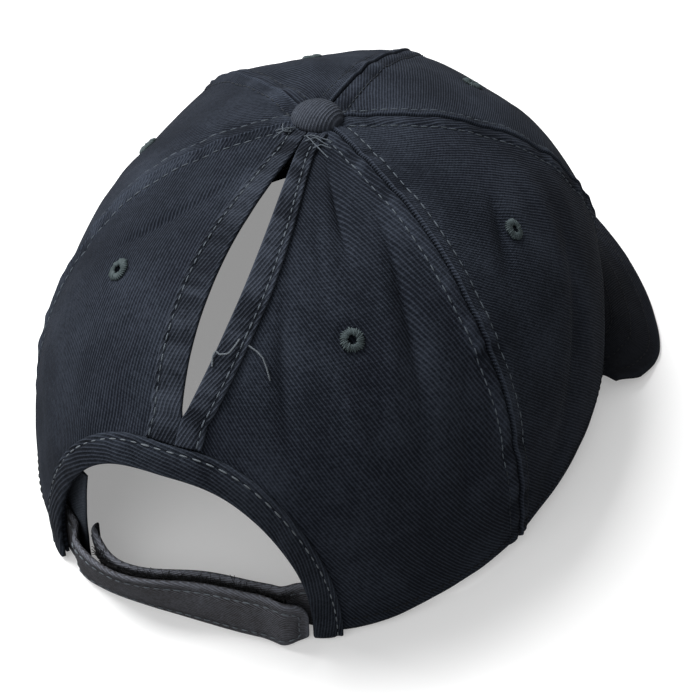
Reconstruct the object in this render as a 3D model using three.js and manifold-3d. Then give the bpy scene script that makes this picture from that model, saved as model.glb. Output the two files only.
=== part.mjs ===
import * as THREE from "three";
import { mergeVertices } from "three/addons/utils/BufferGeometryUtils.js";
import Module from "manifold-3d";

// A washed cotton baseball cap with a ponytail slit and arch at the back, lying on a surface.
// Millimetres, +Z up. The wearer faces -Y, so the wearer's right is -X.
// A place on the crown is a bearing in degrees from the middle of the back, growing towards
// the wearer's right, and a rise that runs from 0 at the rim to 1 under the button.

// Crown
const crownHalfWidth = 84;
const crownHalfLength = 112;
const crownHeight = 98;
const frontRimLift = 16;
const topSetBack = 13.6;
const topSetAside = 4;
const rightFullness = 0.05;
const clothThickness = 1.4;
const clearance = 0.3;
const trimClearance = 0.4;
const seamWelt = 0.6;
const seamHalfWidth = 4.6;
const topHoleRise = 0.985;

// How round the wall is in plan and in profile, and how that changes from back to side
const planRoundness = { mean: 0.92, back: -0.008, side: 0.094 };
const profileRoundness = { mean: 0.867, back: -0.039, side: -0.146 };
const rimFlare = 0.026;
const flareHeight = 0.45;

// Bearings of the five sewn seams, at the rim and at the button
const seams = {
  rearRight: { rim: 61.5, top: 61 },
  frontRight: { rim: 122, top: 115 },
  front: { rim: 178, top: 178 },
  frontLeft: { rim: 239, top: 241 },
  rearLeft: { rim: 303.5, top: 294 },
};

// Ponytail arch, slit and their trims
const archMiddle = -2;
const archHalfAngle = 31;
const archRise = 0.337;
const archRoundness = 2.75;
const archShoulder = 0.66;
const bindingWidth = 7.8;
const bindingShoulder = 0.62;
const trimThickness = 1.2;
const edgeSetIn = 1;
const slitWidth = 7.4;
const slitStart = 0.385;
const slitEnd = 0.905;
const slitLean = 3;
const slitBelly = 0.9;
const leftBandWidth = 8;
const rightBandWidth = 6.6;
const slitBandTop = 0.955;
const slitBandTaper = 0.35;
const slitBandTaperStart = 0.6;
const trimEdgeThinning = 0.5;

// Straps and hook-and-loop tape
const strapWidth = 17;
const strapThickness = 1.5;
const tapeThickness = 0.5;
const tapeWidth = 13;
const strapSlack = 6.8;
const strapSpan = 28;
const strapFootAngle = 36;
const outerTipAngle = 23.6;
const innerTipAngle = -26;
const strapStandOff = 0.6;
const strapLean = 5.5;
const strapLeanMiddle = -11;
const strapLeanSpread = 12;
const strapTuckStart = 20.5;
const strapTuckEnd = 25.5;
const innerStrapLift = 0.6;
const innerTipSwing = 3;
const innerTipRadius = 7;
const outerTipStart = 15;
const outerTipLift = 3.4;
const outerTipTopRadius = 9;
const outerTipLowRadius = 2;
const tipBluntness = 0.96;
const loopPatchSpan = { left: -11, right: 17 };
const hookPatchSpan = { left: -15, right: 20 };

// Sweatband
const sweatbandHeight = 30;
const sweatbandThickness = 0.9;
const sweatbandStart = 29;
const sweatbandEnd = 336;
const sweatbandLift = 1;

// Button and eyelets
const buttonRadius = 6.6;
const buttonHeight = 4.2;
const buttonUnderside = 0.94;
const buttonEdgeShare = 0.18;
const buttonShankRadius = 2.3;
const buttonShankDepth = 3;
const eyeletRadius = 3.5;
const eyeletHoleRadius = 1.3;
const eyeletHeight = 0.9;

// Brim
const brimReach = 60;
const brimThickness = 2.8;
const brimTuck = 3;
const brimClearance = 0.6;
const brimCorner = 99;
const brimArch = 3;
const brimDroop = 16;
const brimEdgeThinning = 0.25;

// Main dents, folds and full places of the crown: the height is a share of foldHeight,
// across is in degrees, along is in rise, and lean is how far the bearing drifts over the whole rise
const foldHeight = 2;
const folds = [
  { bearing: 157, rise: 0.45, across: 16, along: 0.22, lean: 0, height: -0.85 },
  { bearing: 205, rise: 0.57, across: 22, along: 0.2, lean: 0, height: -1.05 },
  { bearing: 242, rise: 0.58, across: 12, along: 0.2, lean: 0, height: 0.75 },
  { bearing: 263, rise: 0.52, across: 14, along: 0.2, lean: 0, height: -0.75 },
  { bearing: 290, rise: 0.36, across: 14, along: 0.2, lean: 0, height: -0.7 },
  { bearing: 80, rise: 0, across: 16, along: 0.15, lean: 0, height: -0.75 },
  { bearing: 21, rise: 0, across: 9, along: 0.12, lean: 0, height: -1.4 },
  { bearing: 125, rise: 0.27, across: 14, along: 0.12, lean: 0, height: 0.4 },
  { bearing: 180, rise: 0, across: 62, along: 0.14, lean: 0, height: -3 },
  { bearing: 35, rise: 0.77, across: 3.5, along: 0.09, lean: 0, height: -0.6 },
  { bearing: 47.5, rise: 0.54, across: 3, along: 0.17, lean: 11, height: -0.8 },
  { bearing: 19, rise: 0.47, across: 3.4, along: 0.13, lean: -15, height: -0.6 },
  { bearing: 32.5, rise: 0.37, across: 4.5, along: 0.13, lean: -21, height: 0.5 },
  { bearing: 82, rise: 0.605, across: 4, along: 0.06, lean: 90, height: -0.6 },
  { bearing: 86, rise: 0.28, across: 5, along: 0.2, lean: 70, height: -0.8 },
  { bearing: 322, rise: 0.66, across: 4.5, along: 0.1, lean: 66, height: -0.5 },
  { bearing: 346, rise: 0.36, across: 4.5, along: 0.05, lean: 0, height: -0.5 },
  { bearing: 230, rise: 0.82, across: 9, along: 0.07, lean: 0, height: -0.6 },
  { bearing: 250, rise: 0.66, across: 7, along: 0.12, lean: 0, height: -0.5 },
  { bearing: 210, rise: 0.75, across: 10, along: 0.08, lean: 0, height: 0.5 },
];

// Edge of the brim from its right corner to the middle of its front: out is the share of
// brimReach past the rim, splay turns that line away from the middle in degrees, and
// droop is the share of brimDroop that the edge drops below its own rim
const brimEdge = [
  { bearing: 99, out: 0.08, splay: 20, droop: 0.05 },
  { bearing: 104, out: 0.22, splay: 20, droop: 0.3 },
  { bearing: 111, out: 0.34, splay: 14, droop: 0.56 },
  { bearing: 121, out: 0.38, splay: 9, droop: 0.73 },
  { bearing: 133, out: 0.42, splay: 3, droop: 0.86 },
  { bearing: 146, out: 0.49, splay: -2, droop: 0.93 },
  { bearing: 158, out: 0.66, splay: -5, droop: 0.82 },
  { bearing: 169, out: 0.88, splay: -3, droop: 0.5 },
  { bearing: 180, out: 1, splay: 0, droop: 0.3 },
];

const wasm = await Module();
wasm.setup();

function cloth(color, roughness) {
  return new THREE.MeshStandardMaterial({ color, roughness, metalness: 0 });
}

const panelCloth = cloth("#2b3038", 0.95);
const trimCloth = cloth("#333843", 0.95);
const strapCloth = cloth("#484a50", 0.95);
const eyeletThread = cloth("#75858a", 0.8);
const tapeNylon = cloth("#111113", 0.9);
const innerCloth = cloth("#1d2027", 0.95);

const clamp = THREE.MathUtils.clamp;
const smooth = THREE.MathUtils.smoothstep;
const mix = THREE.MathUtils.lerp;

function turnBetween(bearing, other) {
  return THREE.MathUtils.euclideanModulo(bearing - other + 180, 360) - 180;
}

// The crown without its folds
function plainCrown(bearing, rise) {
  const turn = THREE.MathUtils.degToRad(bearing);
  const climb = clamp(rise, 0, 0.9995) * Math.PI / 2;
  const back = Math.cos(turn);
  const side = Math.cos(2 * turn);
  const up = Math.sin(climb) ** (profileRoundness.mean + profileRoundness.back * back
    + profileRoundness.side * side);
  const low = clamp(1 - up / flareHeight, 0, 1);
  const shrink = (1 + rimFlare * low * low) / (1 + rimFlare);
  const reach = shrink * Math.cos(climb) ** (planRoundness.mean + planRoundness.back * back
    + planRoundness.side * side);
  const lift = frontRimLift * (0.5 - 0.5 * back);
  return new THREE.Vector3(
    -crownHalfWidth * Math.sin(turn) * reach * (1 + rightFullness * Math.sin(turn)) - topSetAside * up,
    crownHalfLength * back * reach + topSetBack * up,
    lift + (crownHeight - lift) * up,
  );
}

// Steps along the bearing and up the rise, and the outward direction between them
const bearingStep = 0.5;
const riseStep = 0.004;

function stepAcross(bearing, rise) {
  return plainCrown(bearing + bearingStep, rise).sub(plainCrown(bearing - bearingStep, rise));
}

function stepUp(bearing, rise) {
  return plainCrown(bearing, rise + riseStep).sub(plainCrown(bearing, rise - riseStep));
}

function outward(bearing, rise) {
  return stepAcross(bearing, rise).cross(stepUp(bearing, rise)).normalize();
}

function degreesFor(length, bearing, rise) {
  return length * 2 * bearingStep / stepAcross(bearing, rise).length();
}

function riseFor(length, bearing, rise) {
  return length * 2 * riseStep / stepUp(bearing, Math.max(rise, riseStep)).length();
}

function foldAt(bearing, rise) {
  let height = 0;
  for (const fold of folds) {
    const across = (turnBetween(bearing, fold.bearing) - fold.lean * (rise - fold.rise)) / fold.across;
    const along = (rise - fold.rise) / fold.along;
    height += fold.height * foldHeight * Math.exp(-across * across - along * along);
  }
  return height;
}

function onCrown(bearing, rise, offset) {
  const away = offset + foldAt(bearing, rise);
  return plainCrown(bearing, rise).addScaledVector(outward(bearing, rise), away);
}

// A closed sheet: place(u, v) gives its outer and inner points at shares u across and v up
function sheet(columns, rows, place) {
  const across = columns + 1;
  const layer = across * (rows + 1);
  const positions = new Float32Array(2 * layer * 3);
  const index = [];
  const corner = (side, i, j) => side * layer + j * across + i;
  for (let j = 0; j <= rows; j++) {
    for (let i = 0; i <= columns; i++) {
      const [outer, inner] = place(i / columns, j / rows);
      outer.toArray(positions, 3 * corner(0, i, j));
      inner.toArray(positions, 3 * corner(1, i, j));
    }
  }
  const quad = (a, b, c, d) => index.push(a, b, c, a, c, d);
  for (let j = 0; j < rows; j++) {
    for (let i = 0; i < columns; i++) {
      quad(corner(0, i, j), corner(0, i + 1, j), corner(0, i + 1, j + 1), corner(0, i, j + 1));
      quad(corner(1, i, j), corner(1, i, j + 1), corner(1, i + 1, j + 1), corner(1, i + 1, j));
    }
    quad(corner(0, columns, j), corner(1, columns, j), corner(1, columns, j + 1), corner(0, columns, j + 1));
    quad(corner(1, 0, j), corner(0, 0, j), corner(0, 0, j + 1), corner(1, 0, j + 1));
  }
  for (let i = 0; i < columns; i++) {
    quad(corner(1, i, 0), corner(1, i + 1, 0), corner(0, i + 1, 0), corner(0, i, 0));
    quad(corner(0, i, rows), corner(0, i + 1, rows), corner(1, i + 1, rows), corner(1, i, rows));
  }
  const geometry = new THREE.BufferGeometry();
  geometry.setAttribute("position", new THREE.BufferAttribute(positions, 3));
  geometry.setIndex(index);
  return facingOut(geometry);
}

function facingOut(geometry) {
  const at = geometry.attributes.position;
  const order = geometry.index.array;
  const a = new THREE.Vector3();
  const b = new THREE.Vector3();
  const c = new THREE.Vector3();
  let volume = 0;
  for (let k = 0; k < order.length; k += 3) {
    a.fromBufferAttribute(at, order[k]);
    b.fromBufferAttribute(at, order[k + 1]);
    c.fromBufferAttribute(at, order[k + 2]);
    volume += a.dot(b.cross(c));
  }
  if (volume < 0) {
    order.reverse();
  }
  return geometry;
}

function solid(geometry) {
  const plain = geometry.clone();
  plain.deleteAttribute("normal");
  plain.deleteAttribute("uv");
  const merged = mergeVertices(plain, 1e-4);
  return new wasm.Manifold(new wasm.Mesh({
    numProp: 3,
    vertProperties: new Float32Array(merged.attributes.position.array),
    triVerts: new Uint32Array(merged.index.array),
  }));
}

function geometryOf(manifold) {
  const mesh = manifold.getMesh();
  const geometry = new THREE.BufferGeometry();
  geometry.setAttribute("position", new THREE.BufferAttribute(mesh.vertProperties, 3));
  geometry.setIndex(new THREE.BufferAttribute(mesh.triVerts, 1));
  return geometry;
}

function piece(name, geometry, material) {
  const mesh = new THREE.Mesh(geometry, material);
  mesh.name = name;
  return mesh;
}

// The arch and the slit in bearing and rise
function archOutline(share, halfAngle, rise, shoulder) {
  const sweep = Math.PI * (1 - share);
  const across = Math.abs(Math.cos(sweep)) ** (2 / archRoundness);
  return {
    bearing: archMiddle + Math.sign(Math.cos(sweep)) * across * halfAngle,
    rise: rise * Math.abs(Math.sin(sweep)) ** (2 * shoulder),
  };
}

const bindingAngle = degreesFor(bindingWidth, archMiddle + archHalfAngle, 0);
const bindingRise = riseFor(bindingWidth, archMiddle, archRise);
const panelEdgeAngle = archHalfAngle - bindingAngle + degreesFor(edgeSetIn, archMiddle + archHalfAngle, 0);
const panelEdgeRise = archRise - bindingRise + riseFor(edgeSetIn, archMiddle, archRise);

function slitMiddle(rise) {
  return slitLean * (rise - 0.5);
}

function slitEdge(rise, setBack) {
  const along = clamp((rise - slitStart) / (slitEnd - slitStart), 0, 1);
  const half = clearance / 2 + 0.5 * slitWidth * Math.sin(Math.PI * along ** slitBelly) + setBack;
  return degreesFor(half, 0, rise);
}

function seamBearing(seam, rise) {
  return mix(seam.rim, seam.top, rise);
}

// The doubled seam allowance raises the cloth beside a seam
function weltAt(bearing, rise) {
  let raise = 0;
  for (const seam of Object.values(seams)) {
    const away = turnBetween(bearing, seamBearing(seam, rise)) / degreesFor(seamHalfWidth, bearing, rise);
    raise = Math.max(raise, seamWelt * Math.exp(-(away ** 6)));
  }
  return raise;
}

function wallPoints(bearing, rise) {
  return [
    onCrown(bearing, rise, weltAt(bearing, rise)),
    onCrown(bearing, rise, -clothThickness),
  ];
}

// The outer and inner points of a trim that lies on the wall
function trimPoints(bearing, rise, thickness) {
  const under = weltAt(bearing, rise) + trimClearance;
  return [
    onCrown(bearing, rise, under + thickness),
    onCrown(bearing, rise, under),
  ];
}

const panelColumns = 12;
const rearColumns = 15;
const panelRows = 16;
const rowCrowding = 0.06;

// Rows lie closer together near the rim and the button, where the wall turns most
function rowShare(v) {
  return v - rowCrowding * Math.sin(2 * Math.PI * v);
}

function sewnPanel(from, to) {
  return sheet(panelColumns, panelRows, (u, v) => {
    const rise = topHoleRise * rowShare(v);
    const left = seamBearing(from, rise) + degreesFor(clearance / 2, seamBearing(from, rise), rise);
    const right = seamBearing(to, rise) - degreesFor(clearance / 2, seamBearing(to, rise), rise);
    return wallPoints(mix(left, right, u), rise);
  });
}

// A rear panel runs from the slit to its side seam, and its lower edge follows the arch
function rearPanel(seam, hand) {
  const archColumns = 9;
  const low = (share) => {
    if (share * rearColumns <= archColumns) {
      const quarter = 0.5 + hand * 0.5 * share * rearColumns / archColumns;
      return archOutline(quarter, panelEdgeAngle, panelEdgeRise, bindingShoulder);
    }
    const beyond = (share * rearColumns - archColumns) / (rearColumns - archColumns);
    const foot = archMiddle + hand * panelEdgeAngle;
    return { bearing: foot + beyond * turnBetween(seamBearing(seam, 0), foot), rise: 0 };
  };
  const footLow = low(1).bearing;
  return sheet(rearColumns, panelRows, (u, v) => {
    const edge = low(u);
    const rise = mix(edge.rise, topHoleRise, rowShare(v));
    const inner = slitMiddle(rise) + hand * slitEdge(rise, edgeSetIn);
    const gap = degreesFor(clearance / 2, seamBearing(seam, rise), rise);
    const outer = turnBetween(seamBearing(seam, rise), 0) - hand * gap;
    const share = (edge.bearing - archMiddle) / (footLow - archMiddle);
    return wallPoints(mix(inner, outer, share), rise);
  });
}

// An eyelet is a raised ring of thread round a punched hole
function eyeletFrame(bearing, rise, offset) {
  const away = outward(bearing, rise);
  const turned = new THREE.Quaternion().setFromUnitVectors(new THREE.Vector3(0, 0, 1), away);
  return { at: onCrown(bearing, rise, offset), turned };
}

function punched(geometry, place) {
  const { at, turned } = eyeletFrame(place.bearing, place.rise, 0);
  const punch = new THREE.CylinderGeometry(eyeletHoleRadius, eyeletHoleRadius, 6 * clothThickness, 10);
  punch.rotateX(Math.PI / 2);
  punch.applyQuaternion(turned);
  punch.translate(at.x, at.y, at.z);
  return geometryOf(solid(geometry).subtract(solid(punch)));
}

function eyelet(place) {
  const half = (eyeletRadius - eyeletHoleRadius) / 2;
  const ring = new THREE.TorusGeometry(eyeletHoleRadius + half, half, 5, 12);
  ring.scale(1, 1, eyeletHeight / 2 / half);
  const { at, turned } = eyeletFrame(place.bearing, place.rise, clearance + eyeletHeight / 2);
  ring.applyQuaternion(turned);
  ring.translate(at.x, at.y, at.z);
  return ring;
}

function topButton() {
  const profile = [
    new THREE.Vector2(0, -buttonShankDepth),
    new THREE.Vector2(buttonShankRadius, -buttonShankDepth),
    new THREE.Vector2(buttonShankRadius, 0),
    new THREE.Vector2(buttonRadius * buttonUnderside, 0),
  ];
  const steps = 6;
  for (let k = 0; k <= steps; k++) {
    const turn = 0.5 * Math.PI * k / steps;
    profile.push(new THREE.Vector2(
      buttonRadius * Math.cos(turn),
      buttonHeight * mix(buttonEdgeShare, 1, Math.sin(turn)),
    ));
  }
  profile[profile.length - 1].x = 0;
  const button = new THREE.LatheGeometry(profile, 22);
  button.rotateX(Math.PI / 2);
  const lift = seamWelt + clearance;
  button.translate(-topSetAside, topSetBack, crownHeight + lift);
  return button;
}

// A band beside the slit covers the panel's raw edge
function slitBand(hand, fullWidth) {
  return sheet(4, 22, (u, v) => {
    const foot = archRise + riseFor(clearance, 0, archRise);
    const rise = mix(foot, slitBandTop, v);
    const inner = slitEdge(rise, 0);
    const width = fullWidth * (1 - slitBandTaper * smooth(rise, slitBandTaperStart, slitBandTop));
    const outer = inner + degreesFor(width, 0, rise);
    const bearing = slitMiddle(rise) + hand * mix(inner, outer, u);
    return trimPoints(bearing, rise, trimThickness);
  });
}

function archBinding() {
  return sheet(36, 3, (u, v) => {
    const outer = archOutline(u, archHalfAngle, archRise, archShoulder);
    const inner = archOutline(u, archHalfAngle - bindingAngle, archRise - bindingRise, bindingShoulder);
    const bearing = mix(inner.bearing, outer.bearing, v);
    const rise = mix(inner.rise, outer.rise, v);
    const roll = 1 - trimEdgeThinning * Math.abs(2 * v - 1) ** 3;
    return trimPoints(bearing, rise, trimThickness * roll);
  });
}

// How far a strap lies inside the line of the rim: flat across the arch, tucked behind the
// panels at its foot
function strapInset(bearing) {
  const across = clamp(Math.abs(bearing) / strapSpan, 0, 1);
  const slack = strapSlack * Math.cos(across * Math.PI / 2) ** 1.5;
  return slack + (clothThickness + 2 * clearance) * nearFoot(bearing);
}

function nearFoot(bearing) {
  return smooth(Math.abs(bearing - archMiddle), strapTuckStart, strapTuckEnd);
}

// A strap's point at a height above the surface, as far inside the wall there as the inset says.
// Only the foot follows the wall's folds, and the free cloth leans outwards at its top.
function strapPoint(bearing, height, inset) {
  const rise = riseFor(height, bearing, 0.05);
  const fold = foldAt(bearing, rise) * nearFoot(bearing);
  const lean = strapLean * Math.exp(-(((bearing - strapLeanMiddle) / strapLeanSpread) ** 2));
  const leanHere = lean * (1 - nearFoot(bearing));
  const away = fold + leanHere * height / strapWidth - inset;
  return plainCrown(bearing, rise).addScaledVector(outward(bearing, rise), away).setZ(height);
}

const layerStep = 2 * (tapeThickness + clearance) + strapThickness + clearance;

function outerStrapInset(bearing) {
  const tip = smooth(bearing, outerTipStart, outerTipAngle);
  const free = 1 - smooth(-bearing, 20, 25);
  return strapInset(bearing) - outerTipLift * tip - strapStandOff * free;
}

function innerStrapInset(bearing) {
  const free = 1 - smooth(bearing, 17, 25.5);
  const leftTip = smooth(-bearing, 12, -innerTipAngle);
  return strapInset(bearing) + (layerStep - strapStandOff) * free + innerTipSwing * leftTip;
}

// The strap's end is rounded in the plane of the strap
function tipSquash(fromTip, radius) {
  const inside = clamp(1 - fromTip / radius, 0, 1);
  return radius * (1 - Math.sqrt(1 - inside * inside));
}

function strap(from, to, insetAt, lift, topRadius, lowRadius) {
  return sheet(26, 3, (u, v) => {
    const bearing = mix(from, to, 1 - (1 - u) ** 1.3);
    const fromTip = Math.abs(to - bearing) / degreesFor(1, 0, 0);
    const low = lift + tipSquash(fromTip, lowRadius) * tipBluntness;
    const high = lift + strapWidth - tipSquash(fromTip, topRadius) * tipBluntness;
    const height = mix(low, high, v);
    const inset = insetAt(bearing);
    return [
      strapPoint(bearing, height, inset),
      strapPoint(bearing, height, inset + strapThickness),
    ];
  });
}

function tapePatch(from, to, insetAt, lift) {
  return sheet(18, 1, (u, v) => {
    const bearing = mix(from, to, u);
    const height = lift + (strapWidth - tapeWidth) / 2 + tapeWidth * v;
    const inset = insetAt(bearing);
    return [
      strapPoint(bearing, height, inset),
      strapPoint(bearing, height, inset + tapeThickness),
    ];
  });
}

function outerStrap() {
  return strap(-strapFootAngle, outerTipAngle, outerStrapInset, 0, outerTipTopRadius, outerTipLowRadius);
}

function innerStrap() {
  return strap(strapFootAngle, innerTipAngle, innerStrapInset, innerStrapLift, innerTipRadius, innerTipRadius);
}

function loopPatch() {
  const insetAt = (bearing) => outerStrapInset(bearing) + strapThickness + clearance;
  return tapePatch(loopPatchSpan.left, loopPatchSpan.right, insetAt, 0);
}

function hookPatch() {
  const insetAt = (bearing) => innerStrapInset(bearing) - clearance - tapeThickness;
  return tapePatch(hookPatchSpan.left, hookPatchSpan.right, insetAt, innerStrapLift);
}

function sweatband() {
  const layer = clothThickness + trimClearance;
  const overStrap = strapThickness + 2 * clearance;
  return sheet(50, 4, (u, v) => {
    const bearing = mix(sweatbandStart, sweatbandEnd, u);
    const fromBack = Math.abs(turnBetween(bearing, 0));
    const inset = layer + overStrap * (1 - smooth(fromBack, strapFootAngle + 2, strapFootAngle + 14));
    const start = riseFor(sweatbandLift, bearing, 0.02);
    const rise = start + v * riseFor(sweatbandHeight, bearing, 0.1);
    return [
      onCrown(bearing, rise, -inset),
      onCrown(bearing, rise, -inset - sweatbandThickness),
    ];
  });
}

// The brim's edge comes from the table by smooth curves, mirrored to the left side
function brimEdgeAt(bearing) {
  const own = bearing <= 180 ? bearing : 360 - bearing;
  let k = 0;
  while (k < brimEdge.length - 2 && own > brimEdge[k + 1].bearing) {
    k += 1;
  }
  const before = brimEdge[Math.max(k - 1, 0)];
  const a = brimEdge[k];
  const b = brimEdge[k + 1];
  const after = brimEdge[Math.min(k + 2, brimEdge.length - 1)];
  const share = clamp((own - a.bearing) / (b.bearing - a.bearing), 0, 1);
  const blend = (column) => {
    const slopeA = 0.5 * (b[column] - before[column]);
    const slopeB = 0.5 * (after[column] - a[column]);
    const s2 = share * share;
    const s3 = s2 * share;
    return (2 * s3 - 3 * s2 + 1) * a[column] + (s3 - 2 * s2 + share) * slopeA
      + (3 * s2 - 2 * s3) * b[column] + (s3 - s2) * slopeB;
  };
  return { out: blend("out"), splay: blend("splay"), droop: blend("droop") };
}

function brim() {
  const rows = 6;
  return sheet(30, rows, (u, v) => {
    const bearing = mix(360 - brimCorner, brimCorner, u);
    const rim = onCrown(bearing, 0, 0);
    const away = outward(bearing, 0).setZ(0).normalize();
    const edge = brimEdgeAt(bearing);
    const splay = THREE.MathUtils.degToRad(edge.splay) * (bearing <= 180 ? -1 : 1);
    const root = rim.clone().addScaledVector(away, -brimTuck);
    const reach = away.clone().applyAxisAngle(new THREE.Vector3(0, 0, 1), splay);
    const end = rim.clone().addScaledVector(reach, edge.out * brimReach);
    end.z = rim.z - brimClearance - edge.droop * brimDroop;
    root.z = rim.z - brimClearance;
    const past = rim.clone().addScaledVector(reach, seamWelt + clearance).setZ(root.z);
    const outer = clamp((v * rows - 1) / (rows - 1), 0, 1);
    const top = v * rows < 1 ? root.clone().lerp(past, v * rows) : past.clone().lerp(end, outer);
    top.z += brimArch * edge.out * Math.sin(Math.PI * outer);
    const thick = brimThickness * (1 - brimEdgeThinning * v ** 6);
    const under = top.clone();
    top.z = Math.max(top.z, thick);
    under.z = top.z - thick;
    return [top, under];
  });
}

const eyeletPlaces = {
  rear_right: { bearing: 33.5, rise: 0.54 },
  rear_left: { bearing: 323, rise: 0.56 },
  side_right: { bearing: 85, rise: 0.585 },
  side_left: { bearing: 270, rise: 0.57 },
  front_right: { bearing: 149, rise: 0.57 },
  front_left: { bearing: 210, rise: 0.57 },
};

const walls = {
  rear_right: rearPanel(seams.rearRight, 1),
  rear_left: rearPanel(seams.rearLeft, -1),
  side_right: sewnPanel(seams.rearRight, seams.frontRight),
  side_left: sewnPanel(seams.frontLeft, seams.rearLeft),
  front_right: sewnPanel(seams.frontRight, seams.front),
  front_left: sewnPanel(seams.front, seams.frontLeft),
};

const group = new THREE.Group();
for (const [where, place] of Object.entries(eyeletPlaces)) {
  group.add(piece(`crown_panel_${where}`, punched(walls[where], place), panelCloth));
  group.add(piece(`eyelet_${where}`, eyelet(place), eyeletThread));
}
group.add(piece("top_button", topButton(), trimCloth));
group.add(piece("slit_band_right", slitBand(1, rightBandWidth), trimCloth));
group.add(piece("slit_band_left", slitBand(-1, leftBandWidth), trimCloth));
group.add(piece("arch_binding", archBinding(), trimCloth));
group.add(piece("strap_outer", outerStrap(), strapCloth));
group.add(piece("strap_inner", innerStrap(), strapCloth));
group.add(piece("loop_patch", loopPatch(), tapeNylon));
group.add(piece("hook_patch", hookPatch(), tapeNylon));
group.add(piece("sweatband", sweatband(), innerCloth));
group.add(piece("brim", brim(), panelCloth));

// The origin is under the middle of the whole cap, on the surface it lies on
const box = new THREE.Box3().setFromObject(group);
const middle = box.getCenter(new THREE.Vector3());
group.position.set(-middle.x, -middle.y, -box.min.z);

export default group;
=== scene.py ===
import math
import bpy
import numpy as np
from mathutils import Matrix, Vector


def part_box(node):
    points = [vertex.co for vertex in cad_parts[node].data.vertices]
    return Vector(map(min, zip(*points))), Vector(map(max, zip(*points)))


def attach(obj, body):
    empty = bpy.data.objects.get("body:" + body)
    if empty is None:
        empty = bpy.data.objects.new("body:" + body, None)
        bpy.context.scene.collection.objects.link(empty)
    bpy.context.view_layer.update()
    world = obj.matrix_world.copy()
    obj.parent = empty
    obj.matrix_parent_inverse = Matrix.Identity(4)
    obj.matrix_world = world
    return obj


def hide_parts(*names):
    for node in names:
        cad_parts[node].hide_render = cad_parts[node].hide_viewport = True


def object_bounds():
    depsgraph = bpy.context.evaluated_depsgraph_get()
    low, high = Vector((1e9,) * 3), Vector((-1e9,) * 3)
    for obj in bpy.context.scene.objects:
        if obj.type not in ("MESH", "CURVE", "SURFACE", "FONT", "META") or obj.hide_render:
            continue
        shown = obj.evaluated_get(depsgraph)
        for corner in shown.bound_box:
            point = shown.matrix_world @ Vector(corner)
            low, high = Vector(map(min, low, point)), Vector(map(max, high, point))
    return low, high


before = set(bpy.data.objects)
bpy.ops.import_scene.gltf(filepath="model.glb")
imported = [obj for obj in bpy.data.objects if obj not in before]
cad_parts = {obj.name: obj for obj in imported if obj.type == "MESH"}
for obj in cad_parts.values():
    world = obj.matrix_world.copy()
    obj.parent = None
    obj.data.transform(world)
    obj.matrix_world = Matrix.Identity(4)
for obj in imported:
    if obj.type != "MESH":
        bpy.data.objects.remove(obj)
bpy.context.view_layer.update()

# A place on the crown is a bearing in degrees from the middle of the back, growing towards the
# wearer's right, and a rise from 0 at the rim to 1 under the button. Sizes are in millimetres
# here and become metres when a mesh is made.
crown = dict(halfWidth=84, halfLength=112, height=98, frontLift=16, topSetBack=13.6, topSetAside=4,
             rightFullness=0.05, planMean=0.92, planBack=-0.008, planSide=0.094,
             profileMean=0.867, profileBack=-0.039, profileSide=-0.146,
             rimFlare=0.026, flareHeight=0.45, cloth=1.4, gap=0.3, trimGap=0.4,
             seamWelt=0.6, seamHalfWidth=4.6, topHoleRise=0.985)

# Sewn seams: bearing at the rim and at the button
seams = dict(rearRight=(61.5, 61), frontRight=(122, 115), front=(178, 178),
             frontLeft=(239, 241), rearLeft=(303.5, 294))

arch = dict(middle=-2, halfAngle=31, rise=0.337, roundness=2.75, shoulder=0.66,
            bindingWidth=7.8, bindingShoulder=0.62, thickness=1.2, setIn=1)
slit = dict(width=7.4, start=0.385, end=0.905, lean=3, belly=0.9, leftBand=8, rightBand=6.6,
            bandTop=0.955, bandTaper=0.35, taperStart=0.6)

# Dents, folds and full places: bearing, rise, spread across in degrees, spread along in rise,
# lean in degrees over the whole rise, height in mm
mainFolds = [
    (157, 0.45, 16, 0.22, 0, -1.7), (205, 0.57, 22, 0.2, 0, -2.1), (242, 0.58, 12, 0.2, 0, 1.5),
    (263, 0.52, 14, 0.2, 0, -1.5), (290, 0.36, 14, 0.2, 0, -1.4), (80, 0, 16, 0.15, 0, -1.5),
    (21, 0, 9, 0.12, 0, -2.8), (125, 0.27, 14, 0.12, 0, 0.8), (180, 0, 62, 0.14, 0, -6),
    (35, 0.77, 3.5, 0.09, 0, -1.2), (47.5, 0.54, 3, 0.17, 11, -1.6), (19, 0.47, 3.4, 0.13, -15, -1.2),
    (32.5, 0.37, 4.5, 0.13, -21, 1), (82, 0.605, 4, 0.06, 90, -1.2), (86, 0.28, 5, 0.2, 70, -1.6),
    (322, 0.66, 4.5, 0.1, 66, -1), (346, 0.36, 4.5, 0.05, 0, -1), (230, 0.82, 9, 0.07, 0, -1.2),
    (250, 0.66, 7, 0.12, 0, -1), (210, 0.75, 10, 0.08, 0, 1),
]

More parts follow.
